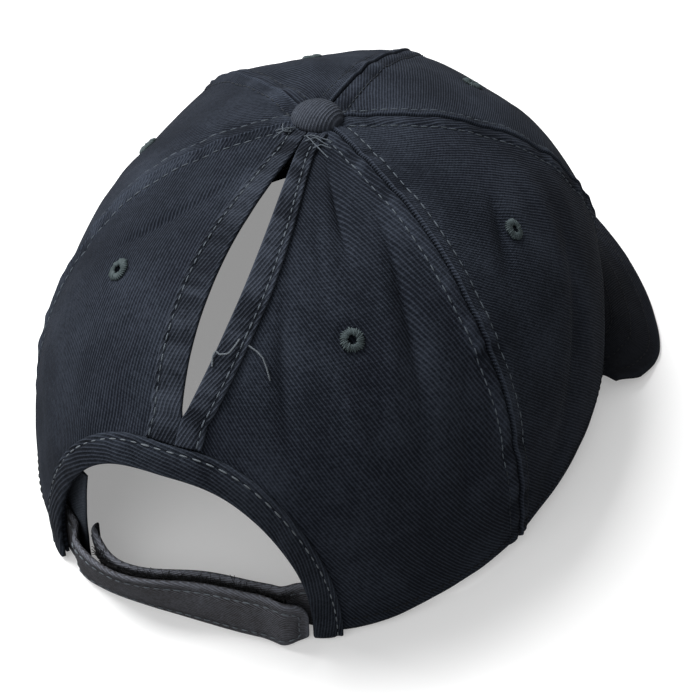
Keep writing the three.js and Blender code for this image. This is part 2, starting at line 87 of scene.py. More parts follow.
# Shallow creases of the washed cloth, in the same columns
softFolds = [
    (27, 0.68, 2.2, 0.12, -8, -0.35), (41, 0.46, 2.0, 0.15, 14, 0.4), (53, 0.3, 2.4, 0.12, 10, -0.4),
    (24, 0.3, 2.2, 0.1, -22, -0.35), (38, 0.16, 3, 0.08, -30, 0.35), (70, 0.42, 2.4, 0.1, 50, -0.35),
    (95, 0.5, 2.4, 0.1, 60, 0.35), (104, 0.66, 3, 0.06, 60, -0.3), (338, 0.5, 2.4, 0.09, 30, -0.3),
    (312, 0.5, 3, 0.12, 40, 0.35), (330, 0.8, 4, 0.05, 20, -0.3), (15, 0.64, 1.8, 0.1, -6, 0.3),
    (280, 0.6, 3, 0.12, 20, -0.35), (222, 0.66, 3, 0.1, 10, -0.3), (195, 0.4, 3, 0.12, 0, 0.35),
    (168, 0.66, 3.4, 0.1, -10, -0.35), (140, 0.46, 3, 0.12, -14, 0.35),
    (35.2, 0.768, 1.1, 0.07, -12, -0.7), (47.6, 0.55, 1.2, 0.15, 11, -0.85), (18.9, 0.47, 1.2, 0.1, -15, -0.55),
    (32.4, 0.38, 1.5, 0.1, -21, 0.5), (320, 0.66, 1.4, 0.09, 66, -0.5), (82.2, 0.605, 1.4, 0.05, 92, -0.6),
    (52, 0.25, 1.5, 0.12, 18, -0.5), (86, 0.3, 2, 0.12, 75, -0.6),
]

buttonLow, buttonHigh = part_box("top_button")
shift = np.array([(buttonLow.x + buttonHigh.x) * 500 + crown["topSetAside"],
                  (buttonLow.y + buttonHigh.y) * 500 - crown["topSetBack"], 0.0])
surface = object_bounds()[0][2] * 1000


def turnBetween(bearing, other):
    return (bearing - other + 180) % 360 - 180


def smooth(value, low, high):
    share = np.clip((value - low) / (high - low), 0, 1)
    return share * share * (3 - 2 * share)


def plainCrown(bearing, rise):
    turn = np.radians(bearing)
    climb = np.clip(rise, 0, 0.9995) * np.pi / 2
    back, side = np.cos(turn), np.cos(2 * turn)
    up = np.sin(climb) ** (crown["profileMean"] + crown["profileBack"] * back + crown["profileSide"] * side)
    low = np.clip(1 - up / crown["flareHeight"], 0, 1)
    shrink = (1 + crown["rimFlare"] * low * low) / (1 + crown["rimFlare"])
    reach = shrink * np.cos(climb) ** (crown["planMean"] + crown["planBack"] * back + crown["planSide"] * side)
    lift = crown["frontLift"] * (0.5 - 0.5 * back)
    x = -crown["halfWidth"] * np.sin(turn) * reach * (1 + crown["rightFullness"] * np.sin(turn))
    return np.stack([x - crown["topSetAside"] * up,
                     crown["halfLength"] * back * reach + crown["topSetBack"] * up,
                     lift + (crown["height"] - lift) * up], axis=-1)


def stepAcross(bearing, rise):
    return plainCrown(bearing + 0.5, rise) - plainCrown(bearing - 0.5, rise)


def stepUp(bearing, rise):
    return plainCrown(bearing, rise + 0.004) - plainCrown(bearing, rise - 0.004)


def unit(vectors):
    return vectors / np.maximum(np.linalg.norm(vectors, axis=-1, keepdims=True), 1e-9)


def outward(bearing, rise):
    return unit(np.cross(stepAcross(bearing, rise), stepUp(bearing, rise)))


def degreesFor(length, bearing, rise):
    return length / np.linalg.norm(stepAcross(bearing, rise), axis=-1)


def riseFor(length, bearing, rise):
    return length * 0.008 / np.linalg.norm(stepUp(bearing, np.maximum(rise, 0.004)), axis=-1)


def foldsAt(rows, bearing, rise):
    height = 0.0
    for at, level, across, along, lean, tall in rows:
        a = (turnBetween(bearing, at) - lean * (rise - level)) / across
        b = (rise - level) / along
        height = height + tall * np.exp(-a * a - b * b)
    return height


def seamBearing(seam, rise):
    return seam[0] + (seam[1] - seam[0]) * rise


def weltAt(bearing, rise):
    raised = np.zeros(np.broadcast(bearing, rise).shape)
    for seam in seams.values():
        away = turnBetween(bearing, seamBearing(seam, rise)) / degreesFor(crown["seamHalfWidth"], bearing, rise)
        raised = np.maximum(raised, crown["seamWelt"] * np.exp(-(away ** 6)))
    return raised


# A seeded lattice of random heights, read smoothly anywhere in space
lattice = np.random.default_rng(41).uniform(-1, 1, (24, 24, 24))


def clothNoise(points, size):
    spot = points / size + 7.3
    cell = np.floor(spot).astype(int)
    part = spot - cell
    part = part * part * (3 - 2 * part)
    total = 0.0
    for corner in range(8):
        step = np.array([corner & 1, (corner >> 1) & 1, (corner >> 2) & 1])
        weight = np.prod(np.where(step, part, 1 - part), axis=-1)
        index = (cell + step) % 24
        total = total + weight * lattice[index[..., 0], index[..., 1], index[..., 2]]
    return total


def rippleAlong(length, size, seed):
    flat = np.stack([length, np.full_like(length, seed * 3.7), np.full_like(length, seed * 1.3)], axis=-1)
    return clothNoise(flat, np.array([size, 1, 1]))


pucker = dict(stitchLine=4.2, stitchDip=0.34, dipWidth=0.8, ridge=0.62, ridgeStep=5.6, ridgeReach=9.0,
              valley=0.2, valleyWidth=0.35, lip=0.55, lipWidth=0.5, lipOff=0.75)


# Small relief of a seam: a valley along it, a dip under each stitch row and puckers across
def seamRelief(bearing, rise, wearAndShade):
    relief = np.zeros(np.broadcast(bearing, rise).shape)
    for number, seam in enumerate(seams.values()):
        middle = seamBearing(seam, rise)
        away = turnBetween(bearing, middle) / degreesFor(1, middle, rise)
        near = np.exp(-(away / pucker["ridgeReach"]) ** 2)
        onWelt = np.exp(-(away / (pucker["stitchLine"] + 0.8)) ** 8)
        length = rise * 165 + 0.35 * np.abs(away)
        ridges = rippleAlong(length, pucker["ridgeStep"], number + 1) + 0.5 * rippleAlong(length, 3.1, number + 9)
        relief = relief + pucker["ridge"] * ridges * (0.25 * near + 0.75 * onWelt)
        relief = relief - pucker["valley"] * np.exp(-(away / pucker["valleyWidth"]) ** 2)
        relief = relief + pucker["lip"] * np.exp(-((away - pucker["lipOff"]) / pucker["lipWidth"]) ** 2)
        for side in (-1, 1):
            row = np.exp(-((away - side * pucker["stitchLine"]) / pucker["dipWidth"]) ** 2)
            relief = relief - pucker["stitchDip"] * row
        # The tone added here is partly wear and partly painted light and shade: the crests of the puckers and the
        # raised lip are made lighter, and the troughs of the puckers and the valley down the middle of the seam are
        # made darker as painted shade
        wearAndShade += np.clip(ridges * 1.1 + 0.15, -0.9, 1) * onWelt * (1 - np.exp(-(away / 1.2) ** 2)) * 0.8
        wearAndShade += 0.9 * np.exp(-((away - pucker["lipOff"]) / pucker["lipWidth"]) ** 2)
        wearAndShade -= 0.5 * np.exp(-(away / 0.4) ** 2)
    return relief


wrinkle = dict(broad=0.55, broadSize=26, middle=0.22, middleSize=11, fine=0.07, fineSize=4.5)


def wallRelief(bearing, rise):
    at = plainCrown(bearing, rise)
    relief = foldsAt(softFolds, bearing, rise)
    relief = relief + wrinkle["broad"] * clothNoise(at, wrinkle["broadSize"])
    relief = relief + wrinkle["middle"] * clothNoise(at + 90, wrinkle["middleSize"])
    return relief + wrinkle["fine"] * clothNoise(at - 50, wrinkle["fineSize"])


def onCrown(bearing, rise, offset):
    away = offset + foldsAt(mainFolds, bearing, rise)
    return plainCrown(bearing, rise) + outward(bearing, rise) * np.asarray(away)[..., None]


# Meshes
def makeObject(name, points, faces, material, slotName, corners=None, values=None):
    mesh = bpy.data.meshes.new(name)
    mesh.from_pydata((points * 0.001).tolist(), [], faces)
    if corners is not None:
        layer = mesh.uv_layers.new(name="cloth")
        layer.data.foreach_set("uv", np.asarray(corners, np.float32).ravel())
    for key, value in (values or {}).items():
        attribute = mesh.attributes.new(key, "FLOAT", "POINT")
        attribute.data.foreach_set("value", np.asarray(value, np.float32).ravel())
    mesh.polygons.foreach_set("use_smooth", [True] * len(mesh.polygons))
    mesh.materials.append(material)
    mesh.update()
    made = bpy.data.objects.new(name, mesh)
    bpy.context.collection.objects.link(made)
    return made


def settle(piece, slotName, *nodes):
    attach(piece, "root")
    if nodes:
        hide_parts(*nodes)
    return piece


# A closed sheet of cloth from outer and inner grids of points; across and up are its own
# lengths in metres, which carry the weave
def clothSheet(name, outer, inner, across, up, wearAndShade, material, slotName, *nodes):
    rows, columns = outer.shape[:2]
    count = rows * columns
    at = np.arange(count).reshape(rows, columns)
    a, b, c, d = at[:-1, :-1], at[:-1, 1:], at[1:, 1:], at[1:, :-1]
    front = np.stack([a, b, c, d], -1).reshape(-1, 4)
    rear = np.stack([a, d, c, b], -1).reshape(-1, 4) + count
    rim = np.concatenate([at[0, :], at[1:, -1], at[-1, -2::-1], at[-2:0:-1, 0]])
    after = np.roll(rim, -1)
    edge = np.stack([rim, rim + count, after + count, after], -1)
    faces = np.concatenate([front, rear, edge])
    points = np.concatenate([outer.reshape(-1, 3), inner.reshape(-1, 3)])
    middle = (rows // 2) * columns + columns // 2
    p, q, r = points[middle], points[middle + 1], points[middle + columns]
    if np.dot(np.cross(q - p, r - p), points[middle] - points[middle + count]) < 0:
        faces = faces[:, ::-1]
    points = points + shift
    points[:, 2] = np.maximum(points[:, 2], 0.02)
    flat = np.stack([across.ravel(), up.ravel()], -1) * 0.001
    flat = np.concatenate([flat, flat])
    # The wear-and-shade values hold wear and also painted light and shade; the inner face gets them at 0.3 strength
    wearAndShade = np.broadcast_to(wearAndShade, outer.shape[:2]).ravel()
    faceWearAndShade = np.concatenate([wearAndShade, 0.3 * wearAndShade])
    piece = makeObject(name, points, faces.tolist(), material, slotName, flat[faces.ravel()], {"wearAndShade": faceWearAndShade})
    return settle(piece, slotName, *nodes)


# Shares from 0 to 1 that lie closer together at both ends
def crowded(count, ends=0.6):
    v = np.linspace(0, 1, count + 1)
    return v - ends * np.sin(2 * np.pi * v) / (2 * np.pi)


def lengths(outer):
    across = np.zeros(outer.shape[:2])
    up = np.zeros(outer.shape[:2])
    across[:, 1:] = np.cumsum(np.linalg.norm(np.diff(outer, axis=1), axis=-1), axis=1)
    up[1:, :] = np.cumsum(np.linalg.norm(np.diff(outer, axis=0), axis=-1), axis=0)
    middle = across[:, across.shape[1] // 2][:, None]
    return across - middle, up


# How far a sheet's rounded edge falls back at a distance from that edge
def roundedEdge(distance, radius):
    inside = np.clip(1 - distance / radius, 0, 1)
    return radius * (1 - np.sqrt(1 - inside * inside))


# Materials
def addNode(tree, kind, **settings):
    made = tree.nodes.new(kind)
    for key, value in settings.items():
        setattr(made, key, value)
    return made


def arithmetic(tree, operation, first, second=None):
    made = addNode(tree, "ShaderNodeMath", operation=operation)
    for socket, value in zip(made.inputs, (first, second)):
        if value is None:
            continue
        if isinstance(value, (int, float)):
            socket.default_value = value
        else:
            tree.links.new(value, socket)
    return made.outputs[0]


def noiseNode(tree, vector, scale, detail, roughness=0.55):
    made = addNode(tree, "ShaderNodeTexNoise")
    made.inputs["Scale"].default_value = scale
    made.inputs["Detail"].default_value = detail
    made.inputs["Roughness"].default_value = roughness
    tree.links.new(vector, made.inputs["Vector"])
    return made.outputs[0]


# Washed twill: ribs of yarn across the cloth, faded in patches and on what stands proud; the wear-and-shade input
# lightens or darkens it further and holds wear together with painted light and shade
def washedTwill():
    tree = bpy.data.node_groups.new("washedTwill", "ShaderNodeTree")
    for name, kind in (("Cloth", "NodeSocketVector"), ("Place", "NodeSocketVector"), ("WearAndShade", "NodeSocketFloat"),
                       ("Base", "NodeSocketColor"), ("Faded", "NodeSocketColor"), ("Turn", "NodeSocketFloat"),
                       ("Pitch", "NodeSocketFloat"), ("Fading", "NodeSocketFloat")):
        tree.interface.new_socket(name=name, in_out="INPUT", socket_type=kind)
    for name, kind in (("Color", "NodeSocketColor"), ("Height", "NodeSocketFloat"),
                       ("Roughness", "NodeSocketFloat")):
        tree.interface.new_socket(name=name, in_out="OUTPUT", socket_type=kind)
    given = addNode(tree, "NodeGroupInput")
    taken = addNode(tree, "NodeGroupOutput")
    turned = addNode(tree, "ShaderNodeVectorRotate", rotation_type="Z_AXIS")
    tree.links.new(given.outputs["Cloth"], turned.inputs["Vector"])
    tree.links.new(given.outputs["Turn"], turned.inputs["Angle"])
    parts = addNode(tree, "ShaderNodeSeparateXYZ")
    tree.links.new(turned.outputs[0], parts.inputs[0])
    waver = noiseNode(tree, given.outputs["Place"], 160, 2)
    across = arithmetic(tree, "DIVIDE", parts.outputs["X"], given.outputs["Pitch"])
    across = arithmetic(tree, "ADD", across, arithmetic(tree, "MULTIPLY", waver, 0.6))
    along = arithmetic(tree, "DIVIDE", parts.outputs["Y"], given.outputs["Pitch"])
    rib = arithmetic(tree, "SINE", arithmetic(tree, "MULTIPLY", across, 2 * math.pi))
    rib = arithmetic(tree, "ADD", arithmetic(tree, "MULTIPLY", rib, 0.5), 0.5)
    rib = arithmetic(tree, "POWER", rib, 1.8)
    step = arithmetic(tree, "ADD", arithmetic(tree, "MULTIPLY", along, 0.9), arithmetic(tree, "MULTIPLY", across, 0.5))
    yarn = arithmetic(tree, "SINE", arithmetic(tree, "MULTIPLY", step, 2 * math.pi))
    fuzz = noiseNode(tree, given.outputs["Place"], 2600, 3, 0.7)
    ribs = arithmetic(tree, "ADD", arithmetic(tree, "MULTIPLY", rib, 0.8), arithmetic(tree, "MULTIPLY", yarn, 0.08))
    weave = arithmetic(tree, "ADD", ribs, arithmetic(tree, "MULTIPLY", fuzz, 0.45))
    tree.links.new(weave, taken.inputs["Height"])
    patches = noiseNode(tree, given.outputs["Place"], 42, 4, 0.6)
    specks = noiseNode(tree, given.outputs["Place"], 900, 3, 0.75)
    fade = arithmetic(tree, "SUBTRACT", patches, 0.5)
    fade = arithmetic(tree, "MULTIPLY", fade, given.outputs["Fading"])
    fade = arithmetic(tree, "ADD", fade, arithmetic(tree, "MULTIPLY", arithmetic(tree, "SUBTRACT", weave, 0.55), 0.62))
    fade = arithmetic(tree, "ADD", fade, arithmetic(tree, "MULTIPLY", arithmetic(tree, "SUBTRACT", specks, 0.5), 0.9))
    fade = arithmetic(tree, "ADD", fade, arithmetic(tree, "MULTIPLY", given.outputs["WearAndShade"], 0.42))
    fade = arithmetic(tree, "ADD", fade, 0.22)
    blend = addNode(tree, "ShaderNodeMix", data_type="RGBA", clamp_factor=True)
    tree.links.new(fade, blend.inputs[0])
    tree.links.new(given.outputs["Base"], blend.inputs[6])
    tree.links.new(given.outputs["Faded"], blend.inputs[7])
    tree.links.new(blend.outputs[2], taken.inputs["Color"])
    rough = arithmetic(tree, "SUBTRACT", 0.97, arithmetic(tree, "MULTIPLY", weave, 0.1))
    tree.links.new(rough, taken.inputs["Roughness"])
    return tree


twillGroup = washedTwill()


def clothMaterial(name, values):
    made = bpy.data.materials.new(name)
    made.use_nodes = True
    tree = made.node_tree
    shader = tree.nodes["Principled BSDF"]
    where = addNode(tree, "ShaderNodeTexCoord")
    wearAndShade = addNode(tree, "ShaderNodeAttribute", attribute_name="wearAndShade")
    weave = addNode(tree, "ShaderNodeGroup", node_tree=twillGroup)
    tree.links.new(where.outputs["UV"], weave.inputs["Cloth"])
    tree.links.new(where.outputs["Object"], weave.inputs["Place"])
    tree.links.new(wearAndShade.outputs["Fac"], weave.inputs["WearAndShade"])
    weave.inputs["Base"].default_value = (*values["base"], 1)
    weave.inputs["Faded"].default_value = (*values["faded"], 1)
    weave.inputs["Turn"].default_value = math.radians(values["turn"])
    weave.inputs["Pitch"].default_value = values["pitch"] * 0.001
    weave.inputs["Fading"].default_value = values["fading"]
    tree.links.new(weave.outputs["Color"], shader.inputs["Base Color"])
    tree.links.new(weave.outputs["Roughness"], shader.inputs["Roughness"])
    bump = addNode(tree, "ShaderNodeBump")
    bump.inputs["Strength"].default_value = values["bump"]
    bump.inputs["Distance"].default_value = 0.0004
    tree.links.new(weave.outputs["Height"], bump.inputs["Height"])
    tree.links.new(bump.outputs[0], shader.inputs["Normal"])
    shader.inputs["Sheen Weight"].default_value = values["sheen"]
    shader.inputs["Sheen Roughness"].default_value = 0.45
    shader.inputs["Sheen Tint"].default_value = (0.55, 0.6, 0.7, 1)
    shader.inputs["Specular IOR Level"].default_value = 0.08
    return made


def threadMaterial(name, color, roughness):
    made = bpy.data.materials.new(name)
    made.use_nodes = True
    tree = made.node_tree
    shader = tree.nodes["Principled BSDF"]
    where = addNode(tree, "ShaderNodeTexCoord")
    tone = noiseNode(tree, where.outputs["Object"], 700, 2)
    ramp = addNode(tree, "ShaderNodeMix", data_type="RGBA", clamp_factor=True)
    ramp.inputs[6].default_value = (*[c * 0.6 for c in color], 1)
    ramp.inputs[7].default_value = (*[c * 1.35 for c in color], 1)
    tree.links.new(tone, ramp.inputs[0])
    tree.links.new(ramp.outputs[2], shader.inputs["Base Color"])
    shader.inputs["Roughness"].default_value = roughness
    shader.inputs["Specular IOR Level"].default_value = 0.2
    return made


navy = dict(base=(0.006, 0.0077, 0.0118), faded=(0.042, 0.051, 0.07), pitch=0.9, fading=0.9, bump=0.6, sheen=0.0)
panelTurns = dict(rear_right=146, rear_left=-20, side_right=140, side_left=-13, front_right=140, front_left=-25)
softer = dict(fading=0.6, bump=0.3, pitch=0.8)
panelMaterials = {where: clothMaterial("twillPanel_" + where, dict(navy, turn=turn, **(softer if "front" in where else {})))
                  for where, turn in panelTurns.items()}
bandTurns = {1: 21, -1: -18}
bandTwills = {hand: clothMaterial("twillBand%d" % (hand + 1), dict(navy, base=(0.0056, 0.007, 0.0104), turn=turn,
                                                                  faded=(0.042, 0.05, 0.067)))
              for hand, turn in bandTurns.items()}
bindingTwill = clothMaterial("twillBinding", dict(navy, base=(0.0052, 0.0066, 0.0098), faded=(0.038, 0.046, 0.062),
                                                  turn=98))
# The bill's copy of the navy twill is darker than the crown's, in both its base and its faded tone: painted shade on
# the bill
shadedBrimTwill = clothMaterial("twillBrimPaintedShade", dict(navy, base=(0.004, 0.0046, 0.0066), faded=(0.02, 0.023, 0.03), turn=40))
strapTwill = clothMaterial("strapCloth", dict(navy, base=(0.036, 0.034, 0.035), faded=(0.15, 0.16, 0.19), turn=110,
                                              pitch=0.7, fading=0.6))
# The sweatband cloth is much lighter than the navy panels: its own colour brightened further as painted light inside
# the crown
litSweatbandTwill = clothMaterial("sweatbandClothPaintedLight", dict(navy, base=(0.04, 0.046, 0.058), faded=(0.11, 0.13, 0.16),
                                                  turn=45, pitch=0.6))
stitchThread = threadMaterial("stitchThread", (0.07, 0.084, 0.1), 0.7)
brightThread = threadMaterial("brightThread", (0.105, 0.12, 0.135), 0.7)
eyeletThread = threadMaterial("eyeletThread", (0.05, 0.067, 0.071), 0.7)
dullThread = threadMaterial("dullThread", (0.02, 0.024, 0.03), 0.8)
darkThread = threadMaterial("darkThread", (0.007, 0.0078, 0.0095), 0.8)
pileNylon = threadMaterial("pileNylon", (0.009, 0.009, 0.01), 0.6)
tapeNylon = threadMaterial("tapeNylon", (0.006, 0.006, 0.007), 0.8)
print("materials made")


# Crown panels
def panelPoints(bearing, rise, sideways, rimward, wearAndShade):
    folds = wallRelief(bearing, rise)
    relief = seamRelief(bearing, rise, wearAndShade)
    fall = roundedEdge(sideways, 0.25) + roundedEdge(rimward, 0.7)
    outer = onCrown(bearing, rise, weltAt(bearing, rise) + folds + relief - fall)
    inner = onCrown(bearing, rise, folds - crown["cloth"])
    return outer, inner


def panelWear(bearing, rise, rimward):
    wearAndShade = np.zeros(bearing.shape)
    wearAndShade += 0.5 * np.exp(-(rimward / 1.6) ** 2)
    wearAndShade += 0.25 * np.clip(clothNoise(plainCrown(bearing, rise), 9.0), 0, 1)
    return wearAndShade


panelGrid = dict(columns=116, rows=150, rearColumns=150)
panelMiddles = dict(rear_right=31, rear_left=-30, side_right=92, side_left=271, front_right=150, front_left=208)
eyeletSizes = dict(radius=3.15, hole=1.35, sunk=1.4, dimple=0.4, dimpleAt=3.2, dimpleWidth=1.1, threadWidth=0.5,
                   threads=30, lift=0.05)
eyeletPlaces = dict(rear_right=(33.5, 0.54), rear_left=(323, 0.56), side_right=(85, 0.585), side_left=(270, 0.57),
                    front_right=(149, 0.57), front_left=(210, 0.57))


# The cloth sinks into the eyelet's hole
def sunkHole(where, outer, inner):
    place = [np.array(value) for value in eyeletPlaces[where]]
    middle = plainCrown(*place) + outward(*place) * float(foldsAt(mainFolds, *eyeletPlaces[where]))
    away = np.linalg.norm(outer - middle, axis=-1)
    depth = eyeletSizes["sunk"] * (1 - smooth(away, eyeletSizes["hole"] - 0.2, eyeletSizes["hole"] + 0.6))
    ring = (away - eyeletSizes["dimpleAt"]) / eyeletSizes["dimpleWidth"]
    depth = depth + eyeletSizes["dimple"] * np.exp(-ring * ring)
    return outer - unit(outer - inner) * depth[..., None]


# Lengths over a panel in millimetres, from its middle bearing and from the rim
def panelLengths(bearing, rise, middle):
    steps = np.linspace(0, 1, 400)
    line = plainCrown(middle + 0 * steps, steps)
    climbed = np.concatenate([[0], np.cumsum(np.linalg.norm(np.diff(line, axis=0), axis=-1))])
    across = turnBetween(bearing, middle) / degreesFor(1, middle + 0 * rise, rise)
    return across, np.interp(rise, steps, climbed)


def sewnPanel(where, fromSeam, toSeam):
    u = crowded(panelGrid["columns"], 0.75)[None, :]
    v = crowded(panelGrid["rows"], 0.35)[:, None]
    rise = crown["topHoleRise"] * v + 0 * u
    half = crown["gap"] / 2
    left = seamBearing(seams[fromSeam], rise)
    left = left + degreesFor(half, left, rise)
    right = seamBearing(seams[toSeam], rise)
    right = right - degreesFor(half, right, rise)
    bearing = left + (right - left) * u
    perDegree = 1 / degreesFor(1, bearing, rise)
    sideways = np.minimum(np.abs(bearing - left), np.abs(right - bearing)) * perDegree
    rimward = rise / riseFor(1, bearing, 0.02)
    wearAndShade = panelWear(bearing, rise, rimward)
    outer, inner = panelPoints(bearing, rise, sideways, rimward, wearAndShade)
    across, up = panelLengths(bearing, rise, panelMiddles[where])
    return clothSheet("panel_" + where, sunkHole(where, outer, inner), inner, across, up, wearAndShade,
                      panelMaterials[where], "panel_twill", "crown_panel_" + where)


def archOutline(share, halfAngle, rise, shoulder):
    sweep = np.pi * (1 - share)
    across = np.abs(np.cos(sweep)) ** (2 / arch["roundness"])
    return (arch["middle"] + np.sign(np.cos(sweep)) * across * halfAngle,
            rise * np.abs(np.sin(sweep)) ** (2 * shoulder))


archFoot = arch["middle"] + arch["halfAngle"]
bindingAngle = float(degreesFor(arch["bindingWidth"], archFoot, 0.0))
bindingRise = float(riseFor(arch["bindingWidth"], arch["middle"], arch["rise"]))
panelEdgeAngle = arch["halfAngle"] - bindingAngle + float(degreesFor(arch["setIn"], archFoot, 0.0))
panelEdgeRise = arch["rise"] - bindingRise + float(riseFor(arch["setIn"], arch["middle"], arch["rise"]))


def slitMiddle(rise):
    return slit["lean"] * (rise - 0.5)


def slitEdge(rise, setBack):
    along = np.clip((rise - slit["start"]) / (slit["end"] - slit["start"]), 0, 1)
    half = crown["gap"] / 2 + 0.5 * slit["width"] * np.sin(np.pi * along ** slit["belly"]) + setBack
    return degreesFor(half, 0.0 * rise, rise)


# A rear panel runs from the slit to its side seam, and its lower edge follows the arch
def rearPanel(where, seamName, hand):
    archShare = 0.6
    u = np.linspace(0, 1, panelGrid["rearColumns"] + 1)[None, :]
    v = crowded(panelGrid["rows"], 0.35)[:, None]
    quarter = 0.5 + hand * 0.5 * np.minimum(u / archShare, 1)
    edgeBearing, edgeRise = archOutline(quarter, panelEdgeAngle, panelEdgeRise, arch["bindingShoulder"])
    foot = arch["middle"] + hand * panelEdgeAngle
    seam = seams[seamName]
    beyond = np.clip((u - archShare) / (1 - archShare), 0, 1)
    past = u > archShare
    edgeBearing = np.where(past, foot + beyond * turnBetween(seam[0], foot), edgeBearing)
    edgeRise = np.where(past, 0.0, edgeRise)
    rise = edgeRise + (crown["topHoleRise"] - edgeRise) * v
    inner = slitMiddle(rise) + hand * slitEdge(rise, arch["setIn"])
    atSeam = seamBearing(seam, rise)
    outer = turnBetween(atSeam, 0) - hand * degreesFor(crown["gap"] / 2, atSeam, rise)
    share = (edgeBearing - arch["middle"]) / (edgeBearing[0, -1] - arch["middle"])
    bearing = inner + (outer - inner) * share
    perDegree = 1 / degreesFor(1, bearing, rise)
    sideways = np.abs(outer - bearing) * perDegree
    rimward = np.where(past, rise / riseFor(1, bearing, 0.02), 99.0)
    wearAndShade = panelWear(bearing, rise, rimward)
    outerPoints, innerPoints = panelPoints(bearing, rise, sideways, rimward, wearAndShade)
    across, up = panelLengths(bearing, rise, panelMiddles[where])
    return clothSheet("panel_" + where, sunkHole(where, outerPoints, innerPoints), innerPoints, across, up, wearAndShade,
                      panelMaterials[where], "panel_twill", "crown_panel_" + where)


rearPanel("rear_right", "rearRight", 1)
rearPanel("rear_left", "rearLeft", -1)
sewnPanel("side_right", "rearRight", "frontRight")
sewnPanel("side_left", "frontLeft", "rearLeft")
sewnPanel("front_right", "frontRight", "front")
sewnPanel("front_left", "front", "frontLeft")
print("panels made")


# Slit bands and the binding of the arch, which lie on the wall
trim = dict(edgeRadius=0.6, lift=0.08, dip=0.35, stitchIn=1.4)


def trimSheet(name, bearing, rise, edgeDistance, relief, wearAndShade, thickness, material, slotName, *nodes):
    folds = wallRelief(bearing, rise)
    under = weltAt(bearing, rise) + trim["lift"] + folds
    top = under + thickness - roundedEdge(edgeDistance, trim["edgeRadius"]) + relief
    outer = onCrown(bearing, rise, top)
    inner = onCrown(bearing, rise, np.minimum(under, top - 0.1))
    across, up = lengths(outer)
    clothSheet(name, outer, inner, across, up, wearAndShade, material, slotName, *nodes)


def slitBand(name, hand, fullWidth, node):
    v = np.linspace(0, 1, 241)[:, None]
    u = crowded(18, 0.8)[None, :]
    foot = arch["rise"] + float(riseFor(crown["gap"], 0.0, arch["rise"]))
    rise = foot + (slit["bandTop"] - foot) * v + 0 * u
    width = fullWidth * (1 - slit["bandTaper"] * smooth(rise, slit["taperStart"], slit["bandTop"]))
    closed = degreesFor(crown["gap"] / 2 + 0.1, 0 * rise, rise) * (1 - smooth(rise, slit["start"], slit["start"] + 0.02))
    inner = slitEdge(rise, 0) - closed
    bearing = slitMiddle(rise) + hand * (inner + degreesFor(width, 0 * rise, rise) * u)
    fromSlit = width * u
    fromOuter = width * (1 - u)
    edge = np.minimum(np.minimum(fromSlit, fromOuter), (slit["bandTop"] - rise) * 165)
    length = rise * 165
    ridges = rippleAlong(length + 0.4 * fromSlit, 4.2, hand + 21) + 0.5 * rippleAlong(length, 2.3, hand + 33)
    relief = 0.26 * ridges * np.clip(np.minimum(fromOuter, fromSlit) / 1.5, 0, 1)
    relief = relief - trim["dip"] * np.exp(-((fromOuter - trim["stitchIn"]) / 0.6) ** 2)
    # The band's edges are lighter as wear; its pucker crests are lighter and troughs darker as wear and painted light
    # and shade, and the groove of the stitch row is darker as painted shade
    wearAndShade = np.clip(0.3 + 0.9 * ridges, -0.3, 1.2) + 0.9 * np.exp(-(edge / 0.5) ** 2)
    wearAndShade = wearAndShade - 0.8 * np.exp(-((fromOuter - trim["stitchIn"]) / 0.5) ** 2)
    trimSheet(name, bearing, rise, edge, relief, wearAndShade, arch["thickness"], bandTwills[hand], "trim_twill", node)


slitBand("band_right", 1, slit["rightBand"], "slit_band_right")
slitBand("band_left", -1, slit["leftBand"], "slit_band_left")


def bindingPlace(u, v):
    outer = archOutline(u, arch["halfAngle"], arch["rise"], arch["shoulder"])
    inner = archOutline(u, arch["halfAngle"] - bindingAngle, arch["rise"] - bindingRise, arch["bindingShoulder"])
    return inner[0] + (outer[0] - inner[0]) * v, inner[1] + (outer[1] - inner[1]) * v


def archBinding():
    u = np.linspace(0, 1, 421)[None, :]
    v = crowded(18, 0.8)[:, None]
    bearing, rise = bindingPlace(u, v)
    at = plainCrown(bearing, rise)
    length = np.zeros(bearing.shape)
    length[:, 1:] = np.cumsum(np.linalg.norm(np.diff(at[-1], axis=0), axis=-1))[None, :]
    width = arch["bindingWidth"]
    edge = np.minimum(np.minimum(v, 1 - v) * width, np.minimum(length, length[:, -1:] - length) + 0.3)
    ridges = rippleAlong(length + 2.2 * v * width * 0.3, 5.2, 51) + 0.5 * rippleAlong(length, 2.6, 57)
    relief = 0.3 * ridges * np.clip(np.minimum(v, 1 - v) * width / 1.8, 0, 1)
    relief = relief + 0.35 * np.sin(np.pi * v) - trim["dip"] * np.exp(-(((1 - v) * width - 1.6) / 0.6) ** 2)
    wearAndShade = np.clip(0.25 + 0.5 * ridges, 0, 1) * 0.8 + 0.5 * np.exp(-(edge / 0.8) ** 2)
    trimSheet("binding_arch", bearing, rise, edge, relief, wearAndShade, arch["thickness"], bindingTwill, "trim_twill",
              "arch_binding")


archBinding()
print("bands and binding made")

# Straps, tapes and sweatband
strap = dict(width=17, thickness=1.5, tape=0.5, tapeWidth=13, slack=6.8, span=28, foot=36, outerTip=23.6,
             innerTip=-26, standOff=0.6, lean=5.5, leanMiddle=-11, leanSpread=12, tuckStart=20.5, tuckEnd=25.5,
             innerLift=0.6, innerSwing=3, innerRadius=7, outerStart=15, outerLift=3.4, topRadius=9, lowRadius=2,
             blunt=0.96)


def nearFoot(bearing):
    return smooth(np.abs(bearing - arch["middle"]), strap["tuckStart"], strap["tuckEnd"])


